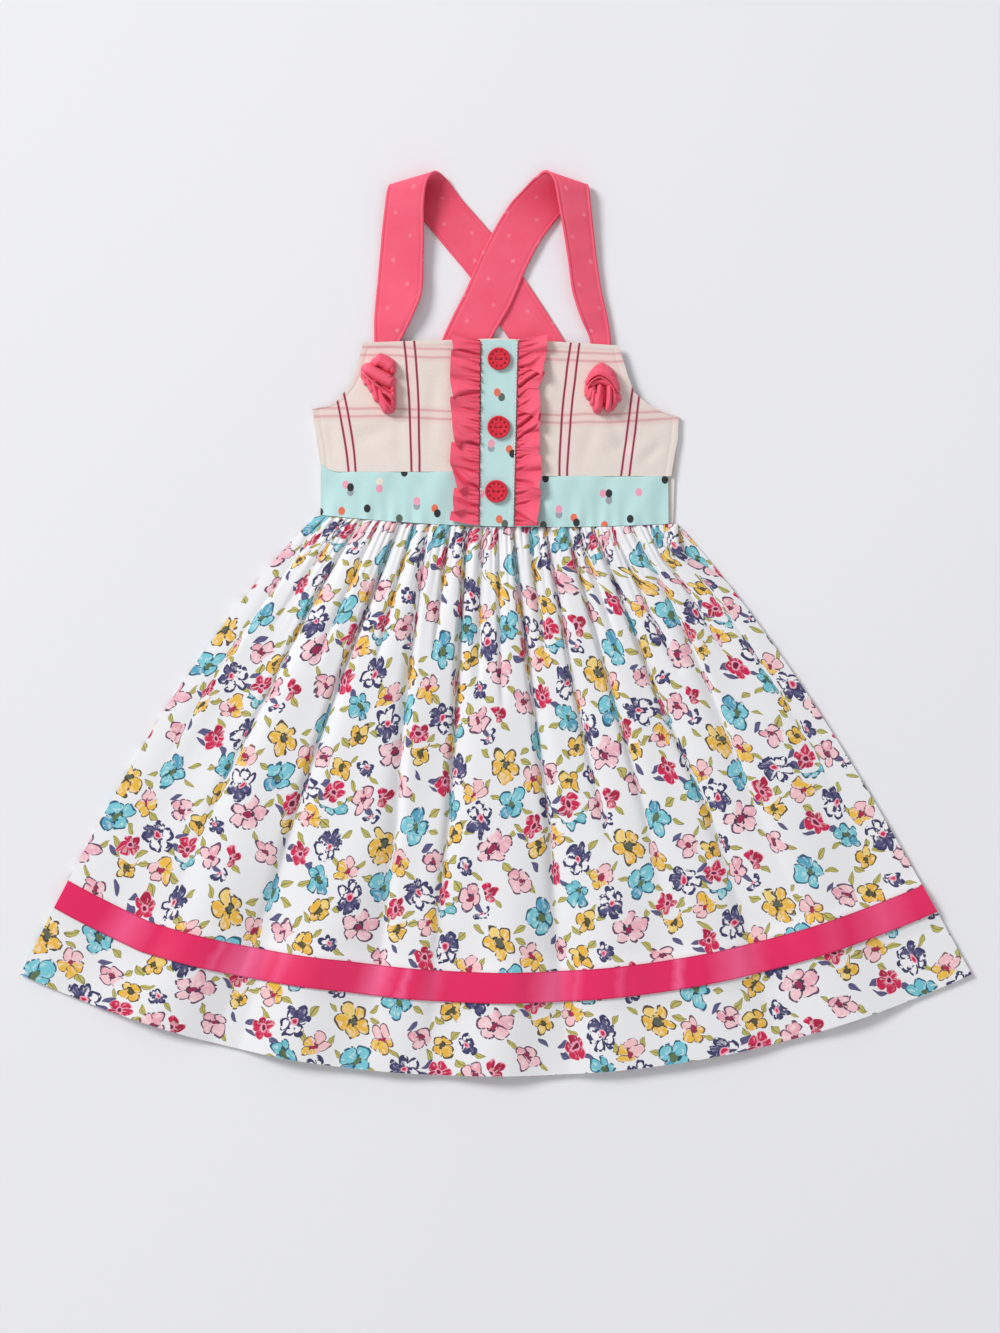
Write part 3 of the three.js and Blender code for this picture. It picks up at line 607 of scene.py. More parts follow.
def windowpane(place):
    """The cream cotton's colour, with dark lines in pairs down it and faint ones across it."""
    wander = noise(place, 0.03, detail=1.0, output="Color").vector("SUBTRACT", (0.5, 0.5, 0.5))
    x, y, _ = place.vector("ADD", wander.vector("MULTIPLY", (1.5, 3.0, 0.0))).apart()
    up = (y - 100.0) / 90.0
    cream = mixed(noise(place, 0.6), *map(linear, CREAM_TONES))

    def curve(top, middle, low):
        bend = 2 * (top + low) - 4 * middle
        return (up * bend + (top - low - bend)) * up + low

    def cover(off, half, so_far):
        return soft_less(abs(off), half, 0.5).math("MAXIMUM", so_far)

    # A pale pink stripe lies between the two lines of each pair
    stripes, lines, faint_stripes, faint_lines = 0.0, 0.0, 0.0, 0.0
    for pair in zip(YOKE_LINES[::2], YOKE_LINES[1::2]):
        stripes = cover(x - curve(*((a + b) / 2 for a, b in zip(*pair))), 4.4, stripes)
        for line in pair:
            lines = cover(x - curve(*line), 1.0, lines)
    wave = ((x + 100.0) / CROSS_WAVE_MM).math("COSINE")
    for base, slope, depth in YOKE_CROSS_LINES:
        off = y - (wave * depth + (x * slope + base))
        faint_lines = cover(off, 1.1, faint_lines)
        faint_stripes = cover(off, 3.4, faint_stripes)
    colour = mixed(faint_stripes * 0.35, cream, linear(CROSS_STRIPE_PINK))
    colour = mixed(stripes * 0.5, colour, linear(STRIPE_PINK))
    colour = mixed(faint_lines * 0.6, colour, linear(CROSS_LINE_PINK))
    return mixed(lines, colour, linear(LINE_CRIMSON))


cream_check = woven("cream_windowpane_cotton", windowpane, roughness=0.85, sheen=0.1, relief=0.00012)
BACK_SIDE_DOWN = (0.0, 0.5, 1.0)
BACK_SIDE_X_MM = ((-122.5, -117.3, -117.4), (122.3, 119.8, 118.6))
BACK_UNDERARM_Y_MM = (141.5, 138.8)


def back_bodice():
    u, v = np.meshgrid(np.linspace(0, 1, 60), np.linspace(0, 1, 20))
    left, right = (np.interp(v, BACK_SIDE_DOWN, side) for side in BACK_SIDE_X_MM)
    x = left + (right - left) * u
    y_top = BACK_UNDERARM_Y_MM[0] + (BACK_UNDERARM_Y_MM[1] - BACK_UNDERARM_Y_MM[0]) * u
    seam_y = waist_y((x - WAIST_MIDDLE_MM) / WAIST_HALF_MM) + GAP_MM / 2
    top = (x, y_top + (seam_y - y_top) * v, np.full_like(x, CLOTH_MM))
    low = below(top, CLOTH_MM)
    piece = cloth("Back_bodice_panel", top, low, top[:2], cream_check, ["back_bodice"])


back_bodice()


# The straps
# Each strap is coral pink cotton with small pale dots, sewn double into a flat tube about 30 mm wide. It
# comes up from the front yoke, turns over at the shoulder and runs down to the other side of the back, the
# right one on top.
STRAP_CLOTH_MM = 1.4
STRAP_LEFT = [
    # armhole edge x, y, z, then neck edge x, y, z
    (-81.4, 172.9, 3.0, -69.4, 172.9, 3.1), (-81.5, 184.9, 3.0, -66.0, 184.9, 3.1),
    (-81.6, 193.6, 3.0, -61.6, 193.6, 4.4), (-81.5, 205.0, 2.6, -55.6, 205.7, 7.6),
    (-80.1, 221.4, 2.4, -49.6, 221.4, 7.4), (-78.3, 240.5, 2.8, -48.5, 240.5, 6.6),
    (-76.2, 264.0, 4.0, -48.1, 264.0, 8.5), (-74.2, 280.7, 5.5, -47.9, 282.1, 11.5),
    (-72.7, 290.6, 5.8, -45.2, 297.0, 13.0), (-71.4, 293.4, 3.4, -39.9, 302.2, 8.6),
    (-69.4, 291.5, 1.2, -34.5, 299.5, 3.2), (-61.6, 285.4, 0.7, -28.8, 292.5, 1.2),
    (-46.9, 268.2, 0.7, -23.1, 284.8, 0.7), (-32.8, 250.9, 0.7, -9.0, 268.7, 0.7),
    (-16.1, 230.5, 0.7, 7.7, 247.9, 0.7), (7.0, 193.6, 0.7, 32.8, 210.6, 0.7),
    (28.7, 163.8, 0.7, 52.5, 179.9, 0.7), (41.5, 146.8, 2.35, 65.2, 162.8, 2.35),
    (55.0, 128.5, 2.35, 78.8, 144.5, 2.35),
]
STRAP_RIGHT = [
    (76.4, 171.5, 3.0, 65.7, 172.9, 3.1), (76.8, 184.3, 3.0, 63.7, 185.6, 3.1),
    (76.8, 191.4, 3.0, 61.9, 193.0, 4.2), (75.0, 203.7, 3.0, 57.0, 203.7, 7.2),
    (71.0, 221.8, 3.0, 51.2, 221.4, 8.0), (67.7, 242.5, 3.6, 48.0, 243.9, 8.6),
    (65.3, 264.0, 4.8, 44.4, 266.0, 10.2), (63.5, 280.7, 5.8, 41.2, 283.4, 12.2),
    (62.4, 290.6, 5.8, 38.2, 297.2, 13.0), (61.4, 293.4, 3.6, 32.8, 302.8, 9.0),
    (58.9, 291.5, 1.4, 26.5, 299.2, 4.4), (51.6, 284.8, 0.9, 18.1, 290.8, 2.6),
    (42.2, 272.7, 1.5, 9.0, 280.7, 2.6), (30.2, 256.6, 2.6, -1.3, 264.0, 2.6),
    (19.4, 235.8, 2.6, -11.1, 244.6, 2.6), (10.1, 213.7, 2.6, -20.1, 223.8, 2.6),
    (-0.7, 195.0, 2.6, -29.5, 205.0, 2.0), (-17.1, 161.4, 1.2, -43.9, 173.8, 1.0),
    (-23.5, 147.2, 2.35, -49.8, 160.0, 2.35), (-31.8, 129.5, 2.35, -58.2, 142.0, 2.35),
]
SHOULDER_ROW = 9.6
SHADED_ROW = 10.7
SHADED_ROWS = 1.5
CORAL_TONES = ((240, 78, 107), (249, 106, 132))
# The deeper, darker pink of painted shade in folds
PAINTED_SHADE_CORAL = (204, 26, 66)
DOT_PINK = (255, 178, 188)
DOT_ROWS_MM = 16.0
DOT_STEP_MM = 21.0
DOT_RADIUS_MM = 1.7


def ridge(off, height, at, half):
    """A rounded ridge, highest at the place at, that falls away over half to either side."""
    return height * np.exp(-(((off - at) / half) ** 2))


def smooth_through(rows, shares):
    """A smooth curve through the rows of points, like a bent batten, at shares of the way along it."""
    rows = np.asarray(rows, float)
    padded = np.concatenate([[2 * rows[0] - rows[1]], rows, [2 * rows[-1] - rows[-2]]])
    at = np.clip(shares, 0, 1) * (len(rows) - 1)
    k = np.minimum(at.astype(int), len(rows) - 2)
    part = (at - k)[:, None]
    a, b, c, d = (padded[k + step] for step in range(4))
    ab, bc, cd = (np.maximum(np.linalg.norm(q - p, axis=1, keepdims=True) ** 0.5, 1e-4)
                  for p, q in ((a, b), (b, c), (c, d)))
    start = ((b - a) / ab - (c - a) / (ab + bc) + (c - b) / bc) * bc
    end = ((c - b) / bc - (d - b) / (bc + cd) + (d - c) / cd) * bc
    cubic = 2 * b - 2 * c + start + end
    square = -3 * b + 3 * c - 2 * start - end
    return b + part * (start + part * (square + part * cubic))


def coral_tone(place):
    return mixed(noise(place, 0.05, detail=3.0) * 0.9, *map(linear, CORAL_TONES))


def with_painted_fold_shade(colour):
    """Painted shade: the cloth's colour turns a deeper, darker pink by how far it lies in a fold's shade, for
    the shade and the pink light bounced between its layers there.
    """
    deep = made(colour.tree, "Attribute", (), "Fac", attribute_name="deep")
    return mixed(deep, colour, linear(PAINTED_SHADE_CORAL))


def dotted_coral(place):
    across, along, _ = place.apart()
    row = (along / DOT_ROWS_MM).math("FLOOR")
    x = (across + row % 2.0 * (DOT_STEP_MM / 2)) % DOT_STEP_MM
    middle = (DOT_STEP_MM / 2, DOT_ROWS_MM / 2, 0)
    away = together(place.tree, x, along % DOT_ROWS_MM).vector("DISTANCE", middle)
    dot = soft_less(away, DOT_RADIUS_MM, 0.8) * noise(place, 0.08, detail=1.0) * 0.62
    return with_painted_fold_shade(mixed(dot, coral_tone(place), linear(DOT_PINK)))


strap_cotton = woven("coral_cotton_with_dots", dotted_coral, roughness=0.8, sheen=0.08, relief=0.0002)
STRAP_ALONG = 220
# Along a strap's edges: height, distance from the edge, half width
STRAP_ROLL = (0.3, 1.0, 0.6)
STRAP_GROOVE = (0.38, 2.2, 0.45)
STRAP_ACROSS_SHARES = (0, 0.012, 0.03, 0.055, 0.075, 0.095, 0.13, 0.2, 0.32, 0.5)


def strap(name, node, sections, sign):
    shares = np.linspace(0, 1, STRAP_ALONG)
    rows = np.array(sections)
    out_edge = smooth_through(rows[:, :3], shares)
    in_edge = smooth_through(rows[:, 3:], shares)
    near_half = np.array(STRAP_ACROSS_SHARES)
    centre = len(near_half) - 1
    across = np.concatenate([near_half, 1 - near_half[-2::-1]])
    if sign > 0:
        across = across[::-1]
    middle = out_edge[:, None, :] + (in_edge - out_edge)[:, None, :] * across[None, :, None]
    forwards = np.gradient(middle, axis=0)
    sideways = np.gradient(middle, axis=1)
    normal = np.cross(sideways, forwards)
    normal /= np.maximum(np.linalg.norm(normal, axis=2, keepdims=True), 1e-6)
    length = np.concatenate([[0], np.cumsum(np.linalg.norm(np.diff(middle[:, centre], axis=0), axis=1))])
    width = np.linalg.norm(in_edge - out_edge, axis=1)
    # A row of stitching presses the cloth down along each edge, and leaves a plump roll outside it
    from_edge = np.minimum(across, 1 - across)[None, :] * width[:, None]
    half = STRAP_CLOTH_MM / 2 * np.clip(0.35 + from_edge / 0.9, 0, 1)
    half += ridge(from_edge, *STRAP_ROLL)
    half -= ridge(from_edge, *STRAP_GROOVE)
    half += 0.12 * np.sin(length[:, None] * 0.3 + 3 * across[None, :] + sign)
    upper = middle - normal * half[:, :, None]
    lower = middle + normal * half[:, :, None]
    low, top = (np.moveaxis(side, 2, 0) for side in (lower, upper))
    low[2] = np.maximum(low[2], 0)
    top[2] = np.maximum(top[2], 0)
    along = np.repeat(length[:, None], len(across), axis=1)
    place = ((across[None, :] - 0.5) * width[:, None] + 100, along)
    # Just past the turn at the shoulder the back part lies in the shade of the front part, and painted shade
    # turns its colour a deeper, darker pink there
    row = shares * (len(rows) - 1)
    past = ridge(row, np.clip((row - SHOULDER_ROW) / 0.5, 0, 1), SHADED_ROW, SHADED_ROWS)
    deep = 0.95 * past[:, None] * (1 - 0.5 * across[None, :])
    piece = cloth(name, tuple(top), tuple(low), place, strap_cotton, [node], deep)


strap("Strap_left_tube", "strap_left", STRAP_LEFT, -1)
strap("Strap_right_tube", "strap_right", STRAP_RIGHT, 1)


# The front yokes
# The two halves of the bodice front, cut in the cream windowpane cotton with the armhole curve, and sewn to
# the placket and the waistband. They lie a little crowned over the straps and the back.
CROWN_MM = 4.1
CROWN_POWER = 3.2
BODICE_HALF_MM = 121.5
SIDE_TOP_MM = 2 * CLOTH_MM + GAP_MM
NECK_Y_MM = 190.9
YOKE_EDGE_LEFT = [
    (-88.6, 188.3), (-91.1, 179.2), (-93.8, 168.8), (-98.5, 158.8), (-106.9, 148.6),
    (-114.6, 144.9), (-122.9, 142.0), (-121.0, 128.6), (-118.2, 114.6), (-117.0, 101.8),
]
YOKE_EDGE_RIGHT = [
    (81.7, 186.3), (85.1, 176.4), (88.9, 164.2), (92.5, 154.8), (101.8, 147.0),
    (111.2, 142.0), (122.3, 138.8), (121.8, 124.0), (119.9, 114.6), (117.3, 98.9),
]
PLACKET_X_MM = {"left": (-10.1, -11.4), "right": (15.1, 12.3)}
BAND_RISE_FROM_MM = -105.0
BAND_RISE_MM = 5.6
BAND_TOP_LEFT_MM = -117.0
# The stitched groove beside a yoke's turned edge: depth, distance from the edge, half width
YOKE_GROOVE = (0.3, 4.2, 0.7)
YOKE_CREASES = [
    # from x, y to x, y, width, depth
    (-68, 133, -97, 121, 6, 0.9), (-102, 136, -74, 108, 5, 0.7), (36, 152, 62, 134, 6, 0.8),
    (102, 128, 72, 114, 6, 0.9), (-40, 170, -45, 118, 5, 0.7), (66, 136, 58, 106, 5, 0.6),
    (-86, 184, -60, 181, 4, 0.6), (90, 134, 114, 132, 4, 0.6), (-112, 134, -108, 110, 4, 0.6),
    (-66, 140, -64, 110, 5, 0.6), (76, 138, 90, 108, 4, 0.7), (112, 122, 96, 106, 4, 0.8),
]


def band_rise(x):
    """How far the seam above the waistband lies over its level part, at its left end."""
    share = np.clip((BAND_RISE_FROM_MM - x) / (BAND_RISE_FROM_MM - BAND_TOP_LEFT_MM), 0, 1)
    return BAND_RISE_MM * share**2


def front_top(x):
    share = np.minimum(1, np.abs((x - WAIST_MIDDLE_MM) / BODICE_HALF_MM))
    return SIDE_TOP_MM + CROWN_MM * (1 - share**CROWN_POWER)


def creased(x, y, rows):
    """How deep the soft creases are at a place."""
    depth = np.zeros_like(x)
    for ax, ay, bx, by, width, deep in rows:
        ex, ey = bx - ax, by - ay
        share = np.clip(((x - ax) * ex + (y - ay) * ey) / (ex**2 + ey**2), 0, 1)
        off = np.hypot(x - ax - share * ex, y - ay - share * ey)
        ends = np.sin(np.pi * np.clip(share, 0.02, 0.98)) ** 0.6
        depth += ridge(off, deep * ends, 0, width)
    return depth


def yoke(name, node, edge, sign):
    edge = np.array(edge, float)
    last = len(edge) - 1
    rows = np.linspace(0, last, 91)
    edge_x = np.interp(rows, np.arange(last + 1), edge[:, 0])
    edge_y = np.interp(rows, np.arange(last + 1), edge[:, 1])
    v = rows / last
    seam = sum(top_x + v * (low_x - top_x) for top_x, low_x in PLACKET_X_MM.values()) / 2
    middle_x = seam + sign * GAP_MM / 2
    middle_y = edge_y + (NECK_Y_MM - edge_y[0]) * np.clip(1 - rows / 4, 0, 1)
    share = np.linspace(0, 1, 120)
    if sign < 0:
        share = share[::-1]
    x = middle_x[:, None] + (edge_x - middle_x)[:, None] * share[None, :]
    y = middle_y[:, None] + (edge_y - middle_y)[:, None] * share[None, :]
    y = y + band_rise(x) * np.maximum(0, 2 * v[:, None] - 1)
    # The turned edge is thicker, and its stitching draws a shallow groove beside it
    from_edge = np.minimum(y[:1] - y, (1 - share[None, :]) * np.abs(edge_x - middle_x)[:, None])
    hemmed = 0.25 * np.exp(-((from_edge / 3.2) ** 4)) - ridge(from_edge, *YOKE_GROOVE)
    top = (x, y, front_top(x) - creased(x, y, YOKE_CREASES) + hemmed)
    piece = cloth(name, top, below(top, CLOTH_MM), (x, y), cream_check, [node])


yoke("Yoke_left_panel", "front_yoke_left", YOKE_EDGE_LEFT, -1)
yoke("Yoke_right_panel", "front_yoke_right", YOKE_EDGE_RIGHT, 1)


# The waistband and the placket
# Pale aqua cotton printed with dots, most of them in pairs with one behind the other. The waistband is sewn
# between the yokes and the skirt, and the placket runs down the middle over both.
SPOT_COLOURS = {
    "orange": (232, 114, 84),
    "pink": (240, 162, 184),
    "black": (34, 36, 40),
    "olive": (90, 102, 92),
    "grey": (152, 162, 168),
    "cream": (238, 228, 208),
}
SPOTS_BEHIND = [
    (-100.5, 93.1, "pink"), (-97.3, 88.3, "grey"), (-77.8, 95.1, "cream"), (-52.9, 78.9, "grey"),
    (-40.9, 77.2, "orange"), (3.8, 151.5, "olive"), (-3.2, 117.6, "grey"), (8.9, 116.8, "orange"),
    (5.9, 66.8, "olive"), (42.1, 73.1, "grey"), (52.1, 71.0, "orange"), (71.7, 87.3, "pink"),
    (75.6, 82.8, "grey"),
]
SPOTS_IN_FRONT = [
    (-97.3, 91.4, "black"), (-78.0, 90.5, "pink"), (-52.9, 82.2, "pink"), (-39.2, 73.9, "black"),
    (-86.1, 77.2, "black"), (-103.2, 75.6, "orange"), (-64.6, 70.5, "olive"), (-61.3, 101.2, "black"),
    (-117.9, 75.1, "black"), (0.9, 154.7, "orange"), (-3.0, 120.6, "pink"), (11.1, 113.7, "black"),
    (-9.9, 86.9, "pink"), (2.2, 69.9, "orange"), (33.2, 97.3, "black"), (42.1, 76.7, "pink"),
    (53.8, 67.7, "black"), (75.6, 87.3, "black"), (95.7, 88.1, "pink"), (113.1, 96.5, "black"),
    (89.8, 70.2, "black"), (72.5, 66.0, "orange"), (31.7, 66.0, "olive"),
]
AQUA_TONES = ((180, 220, 219), (203, 234, 231))
SPOT_RADIUS_MM = 2.8
SPOT_REACH_MM = 3.3


def spot_layer(place, spots, under):
    names = list(SPOT_COLOURS)
    rows = [(x, y, names.index(name) + 1.0, SPOT_REACH_MM) for x, y, name in spots]
    way, number = scattered(place, rows)
    away = way.vector("MULTIPLY", (1.14, 0.94, 0.0)).vector("LENGTH")
    covers = soft_less(away, SPOT_RADIUS_MM, 0.4) * number.math("GREATER_THAN", 0.5)
    paints = [(0.0, 0.0, 0.0, 1.0)] + [linear(SPOT_COLOURS[name]) for name in names]
    return mixed(covers, under, by_kind(number, paints))


def spotted(place):
    place = place.vector("MULTIPLY", (1, 1, 0))
    colour = mixed(noise(place, 0.06) * 0.8, *map(linear, AQUA_TONES))
    return spot_layer(place, SPOTS_IN_FRONT, spot_layer(place, SPOTS_BEHIND, colour))


aqua_spotted = woven("aqua_spotted_cotton", spotted, roughness=0.75, sheen=0.2, relief=0.00012)
BAND_SIDE_X_MM = {-1: (-117.0, -117.5), 1: (115.3, 115.5)}
SEAM_CLOSED_MM = 0.24


def band(name, node, edge, sign):
    top_y = edge[-1][1] - GAP_MM
    share, v = np.meshgrid(np.linspace(0, 1, 150), np.linspace(0, 1, 30))
    if sign < 0:
        share = share[:, ::-1]
    seam = (PLACKET_X_MM["left"][1] + PLACKET_X_MM["right"][1]) / 2 + sign * GAP_MM / 2
    side = BAND_SIDE_X_MM[sign][0] + v * (BAND_SIDE_X_MM[sign][1] - BAND_SIDE_X_MM[sign][0])
    x = seam + (side - seam) * share
    bottom_y = waist_y((x - WAIST_MIDDLE_MM) / WAIST_HALF_MM) + GAP_MM / 2
    seam_y = top_y + band_rise(x) + SEAM_CLOSED_MM
    y = seam_y + (bottom_y - seam_y) * v
    # The gathers below pucker the band a little along its lower edge
    pucker = 0.4 * v**2.5 * np.sin(x * 0.62 + 1.5 * np.sin(x * 0.09))
    pucker += 0.35 * np.sin(x * 0.12 + sign + 2 * v) + 0.25 * np.sin(x * 0.31 + 4 * v)
    pucker -= 0.25 * np.exp(-v / 0.02)
    top = (x, y, front_top(x) + pucker)
    piece = cloth(name, top, below(top, CLOTH_MM), (x, y), aqua_spotted, [node])


band("Waistband_left", "front_band_left", YOKE_EDGE_LEFT, -1)
band("Waistband_right", "front_band_right", YOKE_EDGE_RIGHT, 1)

LAYER_GAP_MM = 0.4
PLACKET_TOP_MM = 189.6
PLACKET_WIDE_MM = 25
# Along the placket's edges: height, distance from the edge, half width
PLACKET_ROLL = (0.35, 1.8, 1.0)
PLACKET_FALL = (0.5, 0, 0.7)


def placket():
    u, v = np.meshgrid(np.linspace(0, 1, 20), np.linspace(0, 1, 90))
    left, right = (top_x + v * (low_x - top_x) for top_x, low_x in PLACKET_X_MM.values())
    x = left + (right - left) * u
    bottom = waist_y((x - WAIST_MIDDLE_MM) / WAIST_HALF_MM) + GAP_MM / 2
    y = PLACKET_TOP_MM + (bottom - PLACKET_TOP_MM) * v
    from_edge = np.minimum(u, 1 - u) * PLACKET_WIDE_MM
    edged = ridge(from_edge, *PLACKET_ROLL) - ridge(from_edge, *PLACKET_FALL)
    top = (x, y, front_top(x) + LAYER_GAP_MM + CLOTH_MM + edged)
    low = (x, y, front_top(x) + LAYER_GAP_MM)
    piece = cloth("Placket_strip", top, low, (x, y), aqua_spotted, ["placket"])


placket()


# The ruffles
# Two strips of coral cotton, each gathered along one edge and sewn in beside the placket, so that the gathers
# open into a few large waves and some folded-over spots at the free edge.
RUFFLE_EDGE_LEFT = [
    # the free edge: y, x
    (194.8, -29.3), (170.0, -30.6), (150.0, -30.6), (129.0, -28.8), (110.0, -30.8), (93.0, -27.4),
    (68.5, -31.0),
]
RUFFLE_EDGE_RIGHT = [
    (192.6, 34.2), (171.0, 33.4), (157.0, 28.2), (143.0, 31.0), (131.0, 28.8), (100.0, 30.6), (66.0, 28.6),
]
RUFFLE_CLOTH_MM = 0.9
RUFFLE_REST_MM = 1.3
RUFFLE_LIFT_MM = 3.4
RUFFLE_GATHER_MM = 0.9
RUFFLE_DRIFT = 0.22
RUFFLE_DRIFT_TURNS = 1.5
RUFFLE_FLIPS_LEFT = [
    # share down, how far it folds over, half length as a share, lift
    (0.05, 3.5, 0.016, 1.6), (0.29, 6.0, 0.018, 2.6), (0.53, 6.0, 0.018, 2.6), (0.76, 8.5, 0.024, 3.6),
    (0.9, 4.0, 0.018, 2.0),
]
RUFFLE_FLIPS_RIGHT = [
    (0.13, 9.0, 0.024, 3.6), (0.25, 3.6, 0.018, 2.0), (0.37, 8.0, 0.022, 3.4), (0.6, 4.0, 0.018, 2.0),
    (0.76, 4.2, 0.02, 2.2), (0.93, 6.0, 0.022, 3.0),
]
RUFFLE_CREASES_LEFT = [
    # share down at the seam and at the free edge, depth, half width as a share, how far out it runs
    (0.03, 0.05, 0.9, 0.006, 0.7), (0.085, 0.07, 1.5, 0.008, 1.0), (0.13, 0.12, 0.9, 0.006, 0.5),
    (0.18, 0.17, 1.0, 0.007, 0.8), (0.23, 0.22, 0.8, 0.005, 0.5), (0.285, 0.31, 2.1, 0.009, 1.1),
    (0.34, 0.35, 0.8, 0.006, 0.5), (0.39, 0.38, 1.0, 0.007, 0.7), (0.44, 0.45, 0.9, 0.006, 0.5),
    (0.5, 0.48, 1.0, 0.006, 0.7), (0.57, 0.53, 2.1, 0.009, 1.1), (0.62, 0.6, 0.9, 0.006, 0.5),
    (0.67, 0.65, 1.1, 0.007, 0.8), (0.72, 0.69, 1.0, 0.006, 0.7), (0.8, 0.73, 2.2, 0.01, 1.1),
    (0.85, 0.83, 0.9, 0.006, 0.6), (0.9, 0.875, 1.6, 0.008, 1.0), (0.95, 0.93, 0.9, 0.006, 0.6),
]
RUFFLE_CREASES_RIGHT = [
    (0.05, 0.03, 1.0, 0.007, 0.8), (0.1, 0.055, 0.9, 0.006, 0.6), (0.152, 0.106, 1.7, 0.008, 0.9),
    (0.2, 0.13, 1.0, 0.006, 0.7), (0.26, 0.165, 2.2, 0.01, 1.1), (0.31, 0.24, 1.0, 0.006, 0.6),
    (0.36, 0.31, 1.0, 0.006, 0.7), (0.413, 0.367, 1.7, 0.008, 1.0), (0.475, 0.398, 2.2, 0.01, 1.1),
    (0.536, 0.459, 1.7, 0.008, 1.0), (0.58, 0.53, 0.9, 0.006, 0.5), (0.64, 0.6, 1.0, 0.006, 0.6),
    (0.7, 0.665, 1.0, 0.007, 0.5), (0.755, 0.77, 1.4, 0.008, 1.0), (0.83, 0.8, 1.0, 0.007, 0.6),
    (0.885, 0.87, 1.1, 0.006, 0.7), (0.93, 0.96, 1.9, 0.01, 1.1), (0.97, 0.985, 1.0, 0.006, 0.5),
]


def plain_coral(place):
    return with_painted_fold_shade(coral_tone(place))


ruffle_cotton = woven("coral_cotton_ruffle", plain_coral, roughness=0.8, sheen=0.08, relief=0.0002)


def ruffle(name, node, edge, side, waves, flips, creases, sign):
    """One ruffle, from the seam out to its free edge. sign is -1 on the left and 1 on the right."""
    v, outwards = np.meshgrid(np.linspace(0, 1, 560), np.linspace(0, 1, 24), indexing="ij")
    if sign < 0:
        outwards = outwards[:, ::-1]
    top_x, low_x = PLACKET_X_MM[side]
    sewn_x = top_x + (low_x - top_x) * v + sign * GAP_MM
    bottom = waist_y((sewn_x - WAIST_MIDDLE_MM) / WAIST_HALF_MM) + GAP_MM
    sewn_y = PLACKET_TOP_MM + (bottom - PLACKET_TOP_MM) * v
    edge = np.array(edge)
    free_y = edge[0, 0] + (edge[-1, 0] - edge[0, 0]) * v
    free_x = np.interp(-free_y, -edge[:, 0], edge[:, 1])
    drift = RUFFLE_DRIFT * np.sin(2 * math.pi * RUFFLE_DRIFT_TURNS * v + sign)
    wave_phase = 2 * math.pi * (waves * v + drift)
    wave = 0.5 - 0.5 * np.cos(wave_phase)
    gather = 0.5 - 0.5 * np.cos(2 * wave_phase + 1)
    # Every wave leans over to one side, and fine gathers run out from the seam
    lean = 1.7 * np.sin(wave_phase + 0.8) * outwards**1.5
    bunched = 38 * v + 0.8 * np.sin(11 * v) + 0.5 * np.sin(31 * v + sign) - 0.7 * outwards
    pleats = 1 - 2 * np.abs(np.sin(math.pi * bunched)) ** 0.7
    fine = 0.2 * np.sin(70 * v + 3 * np.sin(5 * v + sign) + 2 * outwards)
    fine -= 0.6 * pleats * (1 - outwards) ** 2.4
    ends = np.sin(np.pi * np.clip(v, 0.02, 0.98)) ** 0.3
    x = sewn_x + (free_x - sewn_x) * outwards
    y = sewn_y + (free_y - sewn_y) * outwards + lean * ends
    lift = RUFFLE_REST_MM + RUFFLE_LIFT_MM * wave * outwards**1.2 + fine
    lift += RUFFLE_GATHER_MM * gather * (1 - outwards)
    # Painted shade: the colour turns a deeper, darker pink near the seam and in the pleats, and more in the
    # creases below
    deep = 0.22 * (1 - outwards) ** 1.5 + 0.5 * np.maximum(0, pleats) * (1 - outwards) ** 2.2
    for at, ends_at, depth, half, reach in creases:
        off = (v - at - (ends_at - at) * outwards) / half
        strength = depth * np.clip((reach - outwards) / 0.3, 0, 1)
        lift += strength * (ridge(off, 0.55, -1.9, 1) - ridge(off, 1, 0, 1))
        deep += ridge(off, 0.3 * strength, 0, 1)
    # Here and there the free edge folds over onto itself
    for at, over, half, up in flips:
        folded = ridge(v - at - 0.012 * outwards, 1, 0, half) * outwards**1.4
        y -= over * folded
        x -= sign * 0.32 * over * folded
        lift += up * folded
    z = front_top(x) + LAYER_GAP_MM + CLOTH_MM + np.maximum(0, lift)
    top = (x, y, z)
    place = (outwards * 20.0 + 40 * sign, -v * 215.0)
    piece = cloth(name, top, below(top, RUFFLE_CLOTH_MM), place, ruffle_cotton, [node], deep)


ruffle("Ruffle_left_strip", "ruffle_left", RUFFLE_EDGE_LEFT, "left", 7,
       RUFFLE_FLIPS_LEFT, RUFFLE_CREASES_LEFT, -1)
ruffle("Ruffle_right_strip", "ruffle_right", RUFFLE_EDGE_RIGHT, "right", 8,
       RUFFLE_FLIPS_RIGHT, RUFFLE_CREASES_RIGHT, 1)


# The buttons
# Three round red plastic buttons with a raised rim, a ring of small pits and two thread holes. They are the
# solids themselves; their paint, with painted shade darkening the pits, and the crimson thread through the
# two holes are added.
BUTTONS = {"button_top": (2.0, 177.1), "button_middle": (1.8, 131.5), "button_bottom": (0.2, 88.5)}
PIT_RING_MM = 5.0
PIT_COUNT = 10
PIT_RADIUS_MM = 1.15
BUTTON_REDS = ((232, 42, 66), (216, 34, 58))
SPOKE_RED = (176, 20, 48)
PIT_PAINTED_SHADE_RED = (190, 10, 42)


